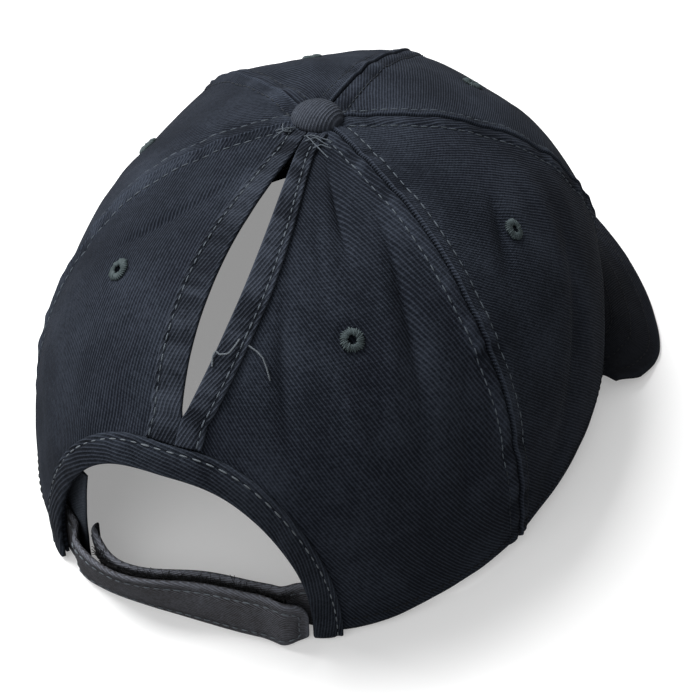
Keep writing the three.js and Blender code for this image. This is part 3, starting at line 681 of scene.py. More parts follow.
def strapInset(bearing):
    across = np.clip(np.abs(bearing) / strap["span"], 0, 1)
    slack = strap["slack"] * np.cos(across * np.pi / 2) ** 1.5
    return slack + (crown["cloth"] + 2 * crown["gap"]) * nearFoot(bearing)


def strapPoint(bearing, height, inset):
    rise = riseFor(height, bearing, 0.05 + 0 * height)
    folded = foldsAt(mainFolds, bearing, rise) * nearFoot(bearing)
    lean = strap["lean"] * np.exp(-(((bearing - strap["leanMiddle"]) / strap["leanSpread"]) ** 2))
    lean = lean * (1 - nearFoot(bearing))
    away = folded + lean * height / strap["width"] - inset
    place = plainCrown(bearing, rise) + outward(bearing, rise) * away[..., None]
    place[..., 2] = height
    return place


layerStep = 2 * (strap["tape"] + crown["gap"]) + strap["thickness"] + crown["gap"]


def outerInset(bearing):
    tip = smooth(bearing, strap["outerStart"], strap["outerTip"])
    free = 1 - smooth(-bearing, 20, 25)
    return strapInset(bearing) - strap["outerLift"] * tip - strap["standOff"] * free


def innerInset(bearing):
    free = 1 - smooth(bearing, 17, 25.5)
    leftTip = smooth(-bearing, 12, -strap["innerTip"])
    return strapInset(bearing) + (layerStep - strap["standOff"]) * free + strap["innerSwing"] * leftTip


def strapGrid(fromAngle, toAngle, lift, topRadius, lowRadius, columns, rows):
    u = np.linspace(0, 1, columns + 1)[None, :]
    v = crowded(rows, 0.8)[:, None]
    bearing = fromAngle + (toAngle - fromAngle) * (1 - (1 - u) ** 1.3) + 0 * v
    fromTip = np.abs(toAngle - bearing) / float(degreesFor(1, 0.0, 0.0))
    low = lift + roundedEdge(fromTip, lowRadius) * strap["blunt"]
    high = lift + strap["width"] - roundedEdge(fromTip, topRadius) * strap["blunt"]
    return bearing, low + (high - low) * v, fromTip, low, high


def strapSheet(name, fromAngle, toAngle, insetAt, lift, topRadius, lowRadius, seed, node):
    bearing, height, fromTip, low, high = strapGrid(fromAngle, toAngle, lift, topRadius, lowRadius, 300, 24)
    edge = np.minimum(np.minimum(height - low, high - height), fromTip)
    length = bearing * 1.9
    ridges = rippleAlong(length, 7.5, seed) + 0.5 * rippleAlong(length + 0.5 * height, 3.2, seed + 4)
    puff = 0.45 * np.clip(edge / 4, 0, 1) + 0.22 * ridges * np.clip(edge / 2, 0, 1)
    puff = puff - 0.32 * np.exp(-((edge - 2.5) / 0.6) ** 2) - roundedEdge(edge, 0.8) * 0.9
    inset = insetAt(bearing)
    outer = strapPoint(bearing, height, inset - puff)
    inner = strapPoint(bearing, height, inset + strap["thickness"] - roundedEdge(edge, 0.5))
    wearAndShade = 0.85 * np.exp(-(edge / 0.8) ** 2) + np.clip(0.2 + 0.4 * ridges, 0, 1) * 0.7
    across, up = lengths(outer)
    clothSheet(name, outer, inner, across, up, wearAndShade, strapTwill, "strap_cloth", node)


strapSheet("strap_lapping", -strap["foot"], strap["outerTip"], outerInset, 0.05, strap["topRadius"],
           strap["lowRadius"], 61, "strap_outer")
strapSheet("strap_behind", strap["foot"], strap["innerTip"], innerInset, strap["innerLift"], strap["innerRadius"],
           strap["innerRadius"], 67, "strap_inner")


def tapeSheet(name, fromAngle, toAngle, insetAt, lift, node):
    u = np.linspace(0, 1, 91)[None, :]
    v = np.linspace(0, 1, 15)[:, None]
    bearing = fromAngle + (toAngle - fromAngle) * u + 0 * v
    height = lift + (strap["width"] - strap["tapeWidth"]) / 2 + strap["tapeWidth"] * v + 0 * u
    inset = insetAt(bearing)
    outer = strapPoint(bearing, height, inset)
    inner = strapPoint(bearing, height, inset + strap["tape"])
    across, up = lengths(outer)
    clothSheet(name, outer, inner, across, up, 0 * bearing, tapeNylon, "tape_nylon", node)


tapeSheet("tape_loop", -11, 17, lambda b: outerInset(b) + strap["thickness"] + crown["gap"], 0.05, "loop_patch")
tapeSheet("tape_hook", -15, 20, lambda b: innerInset(b) - crown["gap"] - strap["tape"], strap["innerLift"],
          "hook_patch")

sweatband = dict(height=30, thickness=0.9, start=29, end=336, lift=1)


def sweatbandSheet():
    u = np.linspace(0, 1, 421)[None, :]
    v = crowded(26, 0.6)[:, None]
    bearing = sweatband["start"] + (sweatband["end"] - sweatband["start"]) * u + 0 * v
    fromBack = np.abs(turnBetween(bearing, 0))
    layer = crown["cloth"] + crown["trimGap"]
    over = (strap["thickness"] + 2 * crown["gap"]) * (1 - smooth(fromBack, strap["foot"] + 2, strap["foot"] + 14))
    start = riseFor(sweatband["lift"], bearing, 0.02)
    rise = start + v * riseFor(sweatband["height"], bearing, 0.1)
    edge = np.minimum(v, 1 - v) * sweatband["height"]
    ridges = rippleAlong(bearing * 1.7, 9.0, 71) * (1 - v) + 0 * v
    relief = 0.25 * ridges + np.minimum(0, wallRelief(bearing, rise))
    outer = onCrown(bearing, rise, relief - layer - over)
    inner = onCrown(bearing, rise, relief - layer - over - sweatband["thickness"] + roundedEdge(edge, 0.5))
    across, up = lengths(outer)
    clothSheet("band_inside", outer, inner, across, up, 0.4 * np.exp(-(edge / 0.8) ** 2), litSweatbandTwill,
               "sweatband_cloth", "sweatband")


sweatbandSheet()
print("straps, tapes and sweatband made")

# Brim: bearing, share of the reach past the rim, splay in degrees, share of the droop
brim = dict(reach=60, thickness=2.8, tuck=3, clearance=0.6, corner=99, arch=3, droop=16, thin=0.25)
brimEdge = np.array([
    (99, 0.08, 20, 0.05), (104, 0.22, 20, 0.3), (111, 0.34, 14, 0.56), (121, 0.38, 9, 0.73),
    (133, 0.42, 3, 0.86), (146, 0.49, -2, 0.93), (158, 0.66, -5, 0.82), (169, 0.88, -3, 0.5), (180, 1, 0, 0.3),
])


def brimEdgeAt(bearing):
    own = np.where(bearing <= 180, bearing, 360 - bearing)
    k = np.clip(np.searchsorted(brimEdge[:, 0], own, side="left") - 1, 0, len(brimEdge) - 2)
    a, b = brimEdge[k], brimEdge[k + 1]
    before, after = brimEdge[np.maximum(k - 1, 0)], brimEdge[np.minimum(k + 2, len(brimEdge) - 1)]
    s = np.clip((own - a[..., 0]) / (b[..., 0] - a[..., 0]), 0, 1)[..., None]
    slopeA, slopeB = 0.5 * (b - before), 0.5 * (after - a)
    s2, s3 = s * s, s * s * s
    got = (2 * s3 - 3 * s2 + 1) * a + (s3 - 2 * s2 + s) * slopeA + (3 * s2 - 2 * s3) * b + (s3 - s2) * slopeB
    return got[..., 1], got[..., 2], got[..., 3]


def brimTop(bearing, v):
    out, splay, droop = brimEdgeAt(bearing)
    rim = onCrown(bearing, 0 * bearing, 0 * bearing)
    away = outward(bearing, 0 * bearing)
    away[..., 2] = 0
    away = unit(away)
    turn = np.radians(splay) * np.where(bearing <= 180, -1, 1)
    reach = np.stack([away[..., 0] * np.cos(turn) - away[..., 1] * np.sin(turn),
                      away[..., 0] * np.sin(turn) + away[..., 1] * np.cos(turn), 0 * turn], axis=-1)
    level = rim[..., 2] - brim["clearance"]
    root = rim - away * brim["tuck"]
    past = rim + reach * (crown["seamWelt"] + crown["gap"])
    end = rim + reach * (out * brim["reach"])[..., None]
    root[..., 2], past[..., 2] = level, level
    end[..., 2] = level - droop * brim["droop"]
    outer = np.clip((v * 6 - 1) / 5, 0, 1)[..., None]
    near = np.clip(v * 6, 0, 1)[..., None]
    top = np.where(v[..., None] * 6 < 1, root + (past - root) * near, past + (end - past) * outer)
    top[..., 2] += brim["arch"] * out * np.sin(np.pi * outer[..., 0])
    return top


def brimSheet():
    u = np.linspace(0, 1, 321)[None, :]
    v = crowded(72, 0.4)[:, None]
    bearing = 360 - brim["corner"] + (2 * brim["corner"] - 360) * u + 0 * v
    along = v + 0 * u
    top = brimTop(bearing, along)
    thick = brim["thickness"] * (1 - brim["thin"] * along ** 6)
    top[..., 2] = np.maximum(top[..., 2], thick)
    outLength = np.linalg.norm(top[-1] - top[0], axis=-1)[None, :]
    edge = np.minimum((1 - v) * outLength, np.minimum(u, 1 - u) * 160)
    groove = 0.0
    for row in brimRows:
        groove = groove - 0.22 * np.exp(-(((1 - v) * outLength - row) / 0.7) ** 2)
    lowered = roundedEdge(edge, 1.25)
    ripple = 0.18 * clothNoise(top, 7.0) + 0.3 * clothNoise(top, 21.0)
    outer = top.copy()
    outer[..., 2] += groove + ripple - lowered
    inner = top.copy()
    inner[..., 2] += lowered * 0.9 - thick
    across, up = lengths(outer)
    wearAndShade = 0.9 * np.exp(-(edge / 1.0) ** 2) + 0.25 * np.clip(ripple * 3, 0, 1)
    clothSheet("bill", outer, inner, across, up, wearAndShade, shadedBrimTwill, "brim_twill", "brim")


brimRows = (4, 11, 18, 25, 32, 39)
brimSheet()
print("brim made")


# Covered button
def revolved(name, profile, steps, center, material, slotName, seed, *nodes):
    turn = np.linspace(0, 2 * np.pi, steps + 1)[:-1]
    points, faces, rings = [], [], len(profile)
    for radius, height in profile:
        ring = np.stack([radius * np.cos(turn), radius * np.sin(turn), np.full(steps, height)], -1)
        points.append(ring)
    grid = np.stack(points)
    grid = grid + 0.22 * clothNoise(grid + seed, 4.0)[..., None] * np.array([0.6, 0.6, 1])
    flat = np.concatenate([grid.reshape(-1, 3), grid[:1].mean(axis=1), grid[-1:].mean(axis=1)])
    for j in range(rings - 1):
        for i in range(steps):
            k = (i + 1) % steps
            faces.append((j * steps + i, j * steps + k, (j + 1) * steps + k, (j + 1) * steps + i))
    for i in range(steps):
        k = (i + 1) % steps
        faces.append((k, i, rings * steps))
        faces.append(((rings - 1) * steps + i, (rings - 1) * steps + k, rings * steps + 1))
    uv = [[flat[i][0] * 0.001, flat[i][1] * 0.001] for face in faces for i in face]
    wearAndShade = 0.35 * np.ones(len(flat))
    piece = makeObject(name, flat + np.array(center) + shift, faces, material, slotName, uv, {"wearAndShade": wearAndShade})
    return settle(piece, slotName, *nodes)


button = dict(radius=6.9, height=4.6, under=0.9, lift=0.4)
buttonTwill = clothMaterial("twillButton", dict(navy, base=(0.015, 0.0175, 0.023), faded=(0.064, 0.073, 0.093), turn=12,
                                                pitch=0.8))
profile = [(button["radius"] * 0.35, -1.2), (button["radius"] * 0.8, -1.0), (button["radius"] * 0.97, -0.3),
           (button["radius"], 0.5)]
for k in range(1, 15):
    angle = k / 15 * np.pi / 2
    profile.append((button["radius"] * np.cos(angle) ** 0.8, 0.5 + (button["height"] - 0.5) * np.sin(angle) ** 1.1))
revolved("button_covered", profile, 64, (-crown["topSetAside"], crown["topSetBack"], crown["height"] + button["lift"]),
         buttonTwill, "trim_twill", 3, "top_button")
print("button made")


# Sewing: a Geometry Nodes tree lays one stitch at each step along a path
def sewingTree():
    tree = bpy.data.node_groups.new("sewnStitches", "GeometryNodeTree")
    tree.interface.new_socket(name="Paths", in_out="INPUT", socket_type="NodeSocketGeometry")
    for name, kind in (("Pitch", "NodeSocketFloat"), ("Stitch Length", "NodeSocketFloat"),
                       ("Thread Width", "NodeSocketFloat"), ("Unevenness", "NodeSocketFloat"),
                       ("Seed", "NodeSocketInt"), ("Thread", "NodeSocketMaterial")):
        tree.interface.new_socket(name=name, in_out="INPUT", socket_type=kind)
    tree.interface.new_socket(name="Stitches", in_out="OUTPUT", socket_type="NodeSocketGeometry")
    given = addNode(tree, "NodeGroupInput")
    taken = addNode(tree, "NodeGroupOutput")
    path = addNode(tree, "GeometryNodeMeshToCurve")
    tree.links.new(given.outputs["Paths"], path.inputs[0])
    spaced = addNode(tree, "GeometryNodeResampleCurve", mode="LENGTH")
    tree.links.new(path.outputs[0], spaced.inputs["Curve"])
    tree.links.new(given.outputs["Pitch"], spaced.inputs["Length"])
    tangent = addNode(tree, "GeometryNodeInputTangent")
    away = addNode(tree, "GeometryNodeInputNamedAttribute", data_type="FLOAT_VECTOR")
    away.inputs["Name"].default_value = "away"
    turned = addNode(tree, "FunctionNodeAxesToRotation", primary_axis="Z", secondary_axis="X")
    tree.links.new(tangent.outputs[0], turned.inputs[0])
    tree.links.new(away.outputs[0], turned.inputs[1])
    stitch = addNode(tree, "GeometryNodeMeshUVSphere")
    stitch.inputs["Segments"].default_value = 6
    stitch.inputs["Rings"].default_value = 5
    stitch.inputs["Radius"].default_value = 0.5
    size = addNode(tree, "ShaderNodeCombineXYZ")
    tree.links.new(given.outputs["Thread Width"], size.inputs[0])
    tree.links.new(given.outputs["Thread Width"], size.inputs[1])
    tree.links.new(given.outputs["Stitch Length"], size.inputs[2])
    uneven = addNode(tree, "FunctionNodeRandomValue", data_type="FLOAT")
    low = arithmetic(tree, "SUBTRACT", 1.0, given.outputs["Unevenness"])
    high = arithmetic(tree, "ADD", 1.0, given.outputs["Unevenness"])
    tree.links.new(low, uneven.inputs[2])
    tree.links.new(high, uneven.inputs[3])
    tree.links.new(given.outputs["Seed"], uneven.inputs["Seed"])
    scaled = addNode(tree, "ShaderNodeVectorMath", operation="SCALE")
    tree.links.new(size.outputs[0], scaled.inputs[0])
    tree.links.new(uneven.outputs[1], scaled.inputs["Scale"])
    placed = addNode(tree, "GeometryNodeInstanceOnPoints")
    tree.links.new(spaced.outputs[0], placed.inputs["Points"])
    tree.links.new(stitch.outputs[0], placed.inputs["Instance"])
    tree.links.new(turned.outputs[0], placed.inputs["Rotation"])
    tree.links.new(scaled.outputs[0], placed.inputs["Scale"])
    real = addNode(tree, "GeometryNodeRealizeInstances")
    tree.links.new(placed.outputs[0], real.inputs[0])
    even = addNode(tree, "GeometryNodeSetShadeSmooth")
    tree.links.new(real.outputs[0], even.inputs[0])
    finish = addNode(tree, "GeometryNodeSetMaterial")
    tree.links.new(even.outputs[0], finish.inputs[0])
    tree.links.new(given.outputs["Thread"], finish.inputs["Material"])
    tree.links.new(finish.outputs[0], taken.inputs[0])
    return tree


sewing = sewingTree()


def applyTree(name, mesh, tree, values):
    holder = bpy.data.objects.new(name + "_paths", mesh)
    bpy.context.collection.objects.link(holder)
    modifier = holder.modifiers.new("pattern", "NODES")
    modifier.node_group = tree
    for item in tree.interface.items_tree:
        if item.item_type == "SOCKET" and item.in_out == "INPUT" and item.name in values:
            modifier[item.identifier] = values[item.name]
    graph = bpy.context.evaluated_depsgraph_get()
    graph.update()
    plain = bpy.data.meshes.new_from_object(holder.evaluated_get(graph))
    holder.modifiers.remove(modifier)
    bpy.data.objects.remove(holder)
    plain.name = name
    made = bpy.data.objects.new(name, plain)
    bpy.context.collection.objects.link(made)
    return made


# Paths are pairs of points and outward directions
def sewRows(name, paths, values, slotName):
    points = np.concatenate([p for p, _ in paths])
    away = np.concatenate([a for _, a in paths])
    edges, start = [], 0
    for p, _ in paths:
        edges += [(start + k, start + k + 1) for k in range(len(p) - 1)]
        start += len(p)
    mesh = bpy.data.meshes.new(name + "_paths")
    mesh.from_pydata(((points + shift) * 0.001).tolist(), edges, [])
    attribute = mesh.attributes.new("away", "FLOAT_VECTOR", "POINT")
    attribute.data.foreach_set("vector", np.asarray(away, np.float32).ravel())
    made = applyTree(name, mesh, sewing, values)
    print(name, len(made.data.polygons), "faces")
    return settle(made, slotName)


def threadValues(pitch, length, width, seed, material, uneven=0.16):
    return {"Pitch": pitch * 0.001, "Stitch Length": length * 0.001, "Thread Width": width * 0.001,
            "Unevenness": uneven, "Seed": seed, "Thread": material}


def wallPath(bearing, rise, raised):
    unused = np.zeros(bearing.shape)
    relief = weltAt(bearing, rise) + wallRelief(bearing, rise) + seamRelief(bearing, rise, unused)
    return onCrown(bearing, rise, relief + raised), outward(bearing, rise)


def seamRows(names, low=0.012, high=0.955):
    paths = []
    for seam in (seams[name] for name in names):
        for side in (-1, 1):
            rise = np.linspace(low, high, 260)
            middle = seamBearing(seam, rise)
            waver = 0.16 * rippleAlong(rise * 165, 13.0, side + 81)
            away = side * (pucker["stitchLine"] + waver)
            paths.append(wallPath(middle + away * degreesFor(1, middle, rise), rise, 0.1))
    return paths


nearSeams = ("rearRight", "frontRight", "rearLeft")
sewRows("stitches_seams", seamRows(nearSeams, low=0.2), threadValues(2.85, 2.1, 0.42, 11, stitchThread), "panel_twill")
sewRows("stitches_low", seamRows(nearSeams, high=0.2), threadValues(2.85, 2.1, 0.42, 18, dullThread), "panel_twill")
sewRows("stitches_front", seamRows(("front", "frontLeft")), threadValues(2.85, 2.1, 0.42, 17, dullThread), "panel_twill")


def bandRows():
    paths = []
    for hand, full in ((1, slit["rightBand"]), (-1, slit["leftBand"])):
        rise = np.linspace(arch["rise"] + 0.012, slit["bandTop"] - 0.012, 240)
        width = full * (1 - slit["bandTaper"] * smooth(rise, slit["taperStart"], slit["bandTop"]))
        inset = width - trim["stitchIn"]
        bearing = slitMiddle(rise) + hand * (slitEdge(rise, 0) + degreesFor(inset, 0 * rise, rise))
        level = weltAt(bearing, rise) + trim["lift"] + wallRelief(bearing, rise) + arch["thickness"]
        paths.append((onCrown(bearing, rise, level - trim["dip"] + 0.14), outward(bearing, rise)))
    return paths


sewRows("stitches_bands", bandRows(), threadValues(2.5, 1.9, 0.44, 12, stitchThread), "trim_twill")


def bindingRow(fromEdge):
    u = np.linspace(0.006, 0.994, 400)
    share = 1 - fromEdge / arch["bindingWidth"]
    bearing, rise = bindingPlace(u, share + 0 * u)
    level = weltAt(bearing, rise) + trim["lift"] + wallRelief(bearing, rise) + arch["thickness"]
    return onCrown(bearing, rise, level + 0.35 * np.sin(np.pi * share) - trim["dip"] + 0.16), outward(bearing, rise)


sewRows("stitches_arch", [bindingRow(1.6)], threadValues(3.3, 2.2, 0.43, 13, brightThread), "trim_twill")


def strapRow(fromAngle, toAngle, insetAt, lift, topRadius, lowRadius, fromEdge):
    bearing, height, fromTip, low, high = strapGrid(fromAngle, toAngle, lift, topRadius, lowRadius, 300, 2)
    angle, lows, highs, tips = bearing[0], low[0], high[0], fromTip[0]
    keep = tips > fromEdge
    top = np.stack([angle[keep], highs[keep] - fromEdge], -1)
    under = np.stack([angle[keep], lows[keep] + fromEdge], -1)[::-1]
    line = np.concatenate([top, under])
    steps = np.linalg.norm(np.diff(line * np.array([1.9, 1.0]), axis=0), axis=-1)
    along = np.concatenate([[0], np.cumsum(steps)])
    even = np.linspace(0, along[-1], 300)
    angle, level = np.interp(even, along, line[:, 0]), np.interp(even, along, line[:, 1])
    face = strapPoint(angle, level, insetAt(angle) - 0.28)
    return face, outward(angle, 0.1 + 0 * angle)


lapping = strapRow(-strap["foot"] + 8, strap["outerTip"], outerInset, 0.05, strap["topRadius"], strap["lowRadius"], 2.5)
behind = strapRow(strap["foot"] - 8, strap["innerTip"], innerInset, strap["innerLift"], strap["innerRadius"],
                  strap["innerRadius"], 2.5)
sewRows("stitches_straps", [lapping, behind], threadValues(2.6, 1.9, 0.45, 14, brightThread), "strap_cloth")


def brimRowPath(fromEdge):
    bearing = np.linspace(360 - brim["corner"] - 3, brim["corner"] + 3, 500)
    edgePoint = brimTop(bearing, np.ones(500))
    rootPoint = brimTop(bearing, np.zeros(500))
    outLength = np.linalg.norm(edgePoint - rootPoint, axis=-1)
    share = 1 - fromEdge / outLength
    top = brimTop(bearing, np.clip(share, 0, 1))
    thick = brim["thickness"] * (1 - brim["thin"] * np.clip(share, 0, 1) ** 6)
    top[..., 2] = np.maximum(top[..., 2], thick)
    top[..., 2] += 0.18 * clothNoise(top, 7.0) + 0.3 * clothNoise(top, 21.0) - 0.22 + 0.1
    keep = share > 0.2
    return top[keep], np.tile([0.0, 0.0, 1.0], (int(keep.sum()), 1))


sewRows("stitches_bill", [brimRowPath(row) for row in brimRows], threadValues(2.8, 2.1, 0.42, 15, darkThread), "brim_twill")


# Rim hem: one row of stitches along the lower edge of the crown, behind which the sweatband is sewn
def rimRow():
    bearing = np.linspace(31, 325, 900)
    rise = riseFor(3.2, bearing, 0.03)
    return wallPath(bearing, rise, 0.08)


sewRows("stitches_rim", [rimRow()], threadValues(2.8, 2.0, 0.4, 16, darkThread), "panel_twill")
print("stitches made")


# Eyelets: threads wound over the edge of a punched hole
def eyeletTree():
    tree = bpy.data.node_groups.new("woundEyelet", "GeometryNodeTree")
    tree.interface.new_socket(name="Ring", in_out="INPUT", socket_type="NodeSocketGeometry")
    for name, kind in (("Thread Length", "NodeSocketFloat"), ("Thread Width", "NodeSocketFloat"),
                       ("Unevenness", "NodeSocketFloat"), ("Seed", "NodeSocketInt"),
                       ("Thread", "NodeSocketMaterial")):
        tree.interface.new_socket(name=name, in_out="INPUT", socket_type=kind)
    tree.interface.new_socket(name="Eyelet", in_out="OUTPUT", socket_type="NodeSocketGeometry")
    given = addNode(tree, "NodeGroupInput")
    taken = addNode(tree, "NodeGroupOutput")
    spoke = addNode(tree, "GeometryNodeInputNamedAttribute", data_type="FLOAT_VECTOR")
    spoke.inputs["Name"].default_value = "spoke"
    away = addNode(tree, "GeometryNodeInputNamedAttribute", data_type="FLOAT_VECTOR")
    away.inputs["Name"].default_value = "away"
    turned = addNode(tree, "FunctionNodeAxesToRotation", primary_axis="Z", secondary_axis="X")
    tree.links.new(spoke.outputs[0], turned.inputs[0])
    tree.links.new(away.outputs[0], turned.inputs[1])
    thread = addNode(tree, "GeometryNodeMeshUVSphere")
    thread.inputs["Segments"].default_value = 6
    thread.inputs["Rings"].default_value = 6
    thread.inputs["Radius"].default_value = 0.5
    size = addNode(tree, "ShaderNodeCombineXYZ")
    tree.links.new(arithmetic(tree, "MULTIPLY", given.outputs["Thread Width"], 2.2), size.inputs[0])
    tree.links.new(given.outputs["Thread Width"], size.inputs[1])
    tree.links.new(given.outputs["Thread Length"], size.inputs[2])
    uneven = addNode(tree, "FunctionNodeRandomValue", data_type="FLOAT")
    tree.links.new(arithmetic(tree, "SUBTRACT", 1.0, given.outputs["Unevenness"]), uneven.inputs[2])
    tree.links.new(arithmetic(tree, "ADD", 1.0, given.outputs["Unevenness"]), uneven.inputs[3])
    tree.links.new(given.outputs["Seed"], uneven.inputs["Seed"])
    scaled = addNode(tree, "ShaderNodeVectorMath", operation="SCALE")
    tree.links.new(size.outputs[0], scaled.inputs[0])
    tree.links.new(uneven.outputs[1], scaled.inputs["Scale"])
    points = addNode(tree, "GeometryNodeMeshToPoints")
    tree.links.new(given.outputs["Ring"], points.inputs[0])
    placed = addNode(tree, "GeometryNodeInstanceOnPoints")
    tree.links.new(points.outputs[0], placed.inputs["Points"])
    tree.links.new(thread.outputs[0], placed.inputs["Instance"])
    tree.links.new(turned.outputs[0], placed.inputs["Rotation"])
    tree.links.new(scaled.outputs[0], placed.inputs["Scale"])
    real = addNode(tree, "GeometryNodeRealizeInstances")
    tree.links.new(placed.outputs[0], real.inputs[0])
    even = addNode(tree, "GeometryNodeSetShadeSmooth")
    tree.links.new(real.outputs[0], even.inputs[0])
    finish = addNode(tree, "GeometryNodeSetMaterial")
    tree.links.new(even.outputs[0], finish.inputs[0])
    tree.links.new(given.outputs["Thread"], finish.inputs["Material"])
    tree.links.new(finish.outputs[0], taken.inputs[0])
    return tree


winding = eyeletTree()


def eyeletFrame(bearing, rise):
    away = outward(np.array(bearing), np.array(rise))
    side = unit(np.cross(np.array([0.0, 0.0, 1.0]), away))
    up = np.cross(away, side)
    level = float(wallRelief(np.array([bearing]), np.array([rise]))[0])
    return onCrown(np.array(bearing), np.array(rise), level), away, side, up


def eyelet(where, number):
    bearing, rise = eyeletPlaces[where]
    middle, away, side, up = eyeletFrame(bearing, rise)
    radius, hole = eyeletSizes["radius"], eyeletSizes["hole"]
    points, spokes = [], []
    layers = ((0.5 * (radius + hole), eyeletSizes["lift"], 0.0), (0.5 * (radius + hole) - 0.35, eyeletSizes["lift"] + 0.22, 0.5))
    for reach, lift, phase in layers:
        for k in range(eyeletSizes["threads"]):
            turn = 2 * np.pi * (k + phase) / eyeletSizes["threads"]
            spoke = np.cos(turn) * side + np.sin(turn) * up
            points.append(middle + spoke * reach + away * lift + shift)
            spokes.append(spoke + 0.25 * np.cross(away, spoke) - 0.12 * away)
    mesh = bpy.data.meshes.new("eyelet_points")
    mesh.from_pydata((np.array(points) * 0.001).tolist(), [], [])
    for key, rows in (("spoke", unit(np.array(spokes))), ("away", np.tile(away, (len(points), 1)))):
        attribute = mesh.attributes.new(key, "FLOAT_VECTOR", "POINT")
        attribute.data.foreach_set("vector", np.asarray(rows, np.float32).ravel())
    made = applyTree("eyelet_sewn_" + where, mesh, winding, {
        "Thread Length": (radius - hole) * 0.001, "Thread Width": eyeletSizes["threadWidth"] * 0.001,
        "Unevenness": 0.24, "Seed": 30 + number, "Thread": eyeletThread})
    settle(made, "eyelet_thread", "eyelet_" + where)


for number, where in enumerate(eyeletPlaces):
    eyelet(where, number)
print("eyelets made")


# Hook-and-loop pile: short tufts that stand out along the top edges of the two tapes
def pile(name, fromAngle, toAngle, insetAt, count, seed, lift, slotName):
    random = np.random.default_rng(seed)
    angle = random.uniform(fromAngle, toAngle, count)
    height = lift + strap["width"] - 2.6 + 2.4 * random.random(count) ** 0.6
    inset = insetAt(angle) + random.uniform(-0.5, 0.5, count)
    at = strapPoint(angle, height, inset)
    lean = random.normal(0, 0.55, (count, 3)) + np.array([0, 0, 0.9])
    bend = random.normal(0, 0.35, (count, 3))
    paths = []
    for k in range(count):
        reach = 0.5 + 0.9 * random.random()
        share = np.linspace(0, 1, 4)[:, None]
        line = at[k] + lean[k] * reach * share + bend[k] * share * share
        paths.append((line, np.tile([1.0, 0.0, 0.0], (4, 1))))
    sewRows(name, paths, threadValues(0.32, 0.5, 0.17, seed, pileNylon, 0.25), slotName)


middleInset = lambda b: 0.5 * (outerInset(b) + strap["thickness"] + innerInset(b))
pile("pile_tape", -19, 22, middleInset, 500, 91, 0.0, "tape_nylon")


# A loose thread on the right rear panel, and its small loop on the band
def looseThread(name, places, raised, width, material):
    bearing, rise = np.array(places, float).T
    steps = np.linspace(0, len(bearing) - 1, 10 * len(bearing))
    bearing = np.interp(steps, np.arange(len(bearing)), bearing)
    rise = np.interp(steps, np.arange(len(rise)), rise)
    for _ in range(6):
        bearing[1:-1] = (bearing[:-2] + 2 * bearing[1:-1] + bearing[2:]) / 4
        rise[1:-1] = (rise[:-2] + 2 * rise[1:-1] + rise[2:]) / 4
    share = np.linspace(0, 1, len(bearing))
    line, away = wallPath(bearing, rise, raised + 0.5 * np.sin(np.pi * share))
    sewRows(name, [(line, away)], threadValues(0.22, 0.5, width, 5, material, 0.1), "panel_twill")


looseThread("thread_loose", [(8, 0.535), (10, 0.53), (12.5, 0.52), (14, 0.51), (15, 0.495), (15.5, 0.485), (16, 0.475)],
            0.5, 0.46, brightThread)
looseThread("thread_loop", [(8, 0.535), (7.5, 0.525), (6.5, 0.51), (6, 0.508), (4.5, 0.505), (3.4, 0.51),
                            (3, 0.5), (3.4, 0.485)], 1.5, 0.46, brightThread)

# Crossed threads of the bar tacks that hold the tops of the bands
tacks = [
    [(-50, 0.947), (-42, 0.94), (-34, 0.934), (-27, 0.942)], [(-35, 0.915), (-34, 0.934), (-31, 0.95)],
    [(-44, 0.93), (-36, 0.94), (-28, 0.953)], [(4, 0.938), (18, 0.94), (32, 0.935), (44, 0.928)],
    [(26, 0.914), (18, 0.926), (8, 0.938)], [(35, 0.893), (27, 0.91), (20, 0.926)],
    [(10, 0.926), (24, 0.935), (38, 0.921)], [(40, 0.913), (31, 0.918), (22, 0.912)],
]
for number, places in enumerate(tacks):
    looseThread("thread_tack_%d" % number, places, 1.5, 0.4, stitchThread)
print("pile and threads made")


# Stage: floor, camera and light
stage = dict(floor=(0.74, 0.74, 0.74), unseen=(0.32, 0.32, 0.32), glow=0.28, world=0.36)
floorMesh = bpy.data.meshes.new("floor")
floorMesh.from_pydata([(-4, -4, -0.0003), (4, -4, -0.0003), (4, 4, -0.0003), (-4, 4, -0.0003)], [], [(0, 1, 2, 3)])
floor = bpy.data.objects.new("floor", floorMesh)
bpy.context.collection.objects.link(floor)
floorMaterial = bpy.data.materials.new("paleFloor")
floorMaterial.use_nodes = True
floorShader = floorMaterial.node_tree.nodes["Principled BSDF"]
floorTree = floorMaterial.node_tree
seen = addNode(floorTree, "ShaderNodeLightPath")
floorTone = addNode(floorTree, "ShaderNodeMix", data_type="RGBA")
floorTone.inputs[6].default_value = (*stage["unseen"], 1)
floorTone.inputs[7].default_value = (*stage["floor"], 1)
floorTree.links.new(seen.outputs["Is Camera Ray"], floorTone.inputs[0])
floorTree.links.new(floorTone.outputs[2], floorShader.inputs["Base Color"])
floorShader.inputs["Roughness"].default_value = 0.9
floorShader.inputs["Emission Color"].default_value = (1, 1, 1, 1)
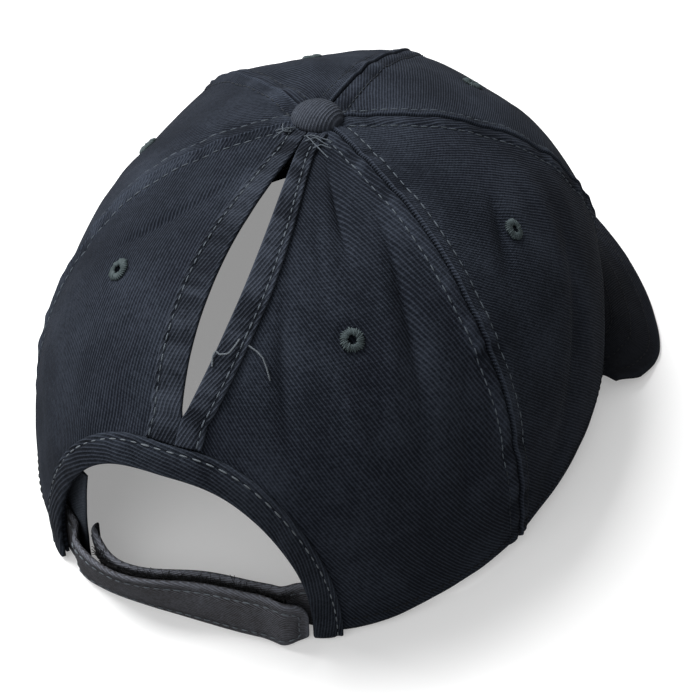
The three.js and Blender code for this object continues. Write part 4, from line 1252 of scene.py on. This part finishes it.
floorTree.links.new(arithmetic(floorTree, "MULTIPLY", seen.outputs["Is Camera Ray"], stage["glow"]),
                    floorShader.inputs["Emission Strength"])
floorMesh.materials.append(floorMaterial)

world = bpy.data.worlds.new("studio")
world.use_nodes = True
world.node_tree.nodes["Background"].inputs[0].default_value = (1, 1, 1, 1)
world.node_tree.nodes["Background"].inputs[1].default_value = stage["world"]
bpy.context.scene.world = world

shot = dict(azimuth=19.304, elevation=41.075, distance=399.978, focal=1255.074, roll=-0.271, aside=8.135, height=6.06)
azimuth, elevation, roll = (math.radians(shot[k]) for k in ("azimuth", "elevation", "roll"))
back = np.array([-math.sin(azimuth) * math.cos(elevation), math.cos(azimuth) * math.cos(elevation),
                 math.sin(elevation)])
right = np.array([-math.cos(azimuth), -math.sin(azimuth), 0.0])
upward = np.cross(back, right)
target = shot["aside"] * right + np.array([0, 0, shot["height"]]) + shift
place = (target + shot["distance"] * back) * 0.001
cameraData = bpy.data.cameras.new("camera")
cameraData.sensor_fit = "HORIZONTAL"
cameraData.sensor_width = 36
cameraData.lens = shot["focal"] / 700 * 36
cameraData.clip_start = 0.01
camera = bpy.data.objects.new("camera", cameraData)
bpy.context.collection.objects.link(camera)
axisX = right * math.cos(roll) - upward * math.sin(roll)
axisY = right * math.sin(roll) + upward * math.cos(roll)
from mathutils import Matrix
camera.matrix_world = Matrix([[axisX[i], axisY[i], back[i], place[i]] for i in range(3)] + [[0, 0, 0, 1]])
bpy.context.scene.camera = camera
bpy.context.scene.view_settings.view_transform = "Standard"

lamps = [
    dict(name="keyLight", at=(0.8, -0.1, 1.22), size=0.8, power=33),
    dict(name="fillLight", at=(0.2, 1.0, 0.95), size=1.0, power=6.5),
]
for lamp in lamps:
    data = bpy.data.lights.new(lamp["name"], "AREA")
    data.shape = "SQUARE"
    data.size = lamp["size"]
    data.energy = lamp["power"]
    made = bpy.data.objects.new(lamp["name"], data)
    made.location = lamp["at"]
    made.rotation_euler = (Vector((0, 0, 0.04)) - Vector(lamp["at"])).to_track_quat("-Z", "Y").to_euler()
    bpy.context.collection.objects.link(made)
print("stage made")
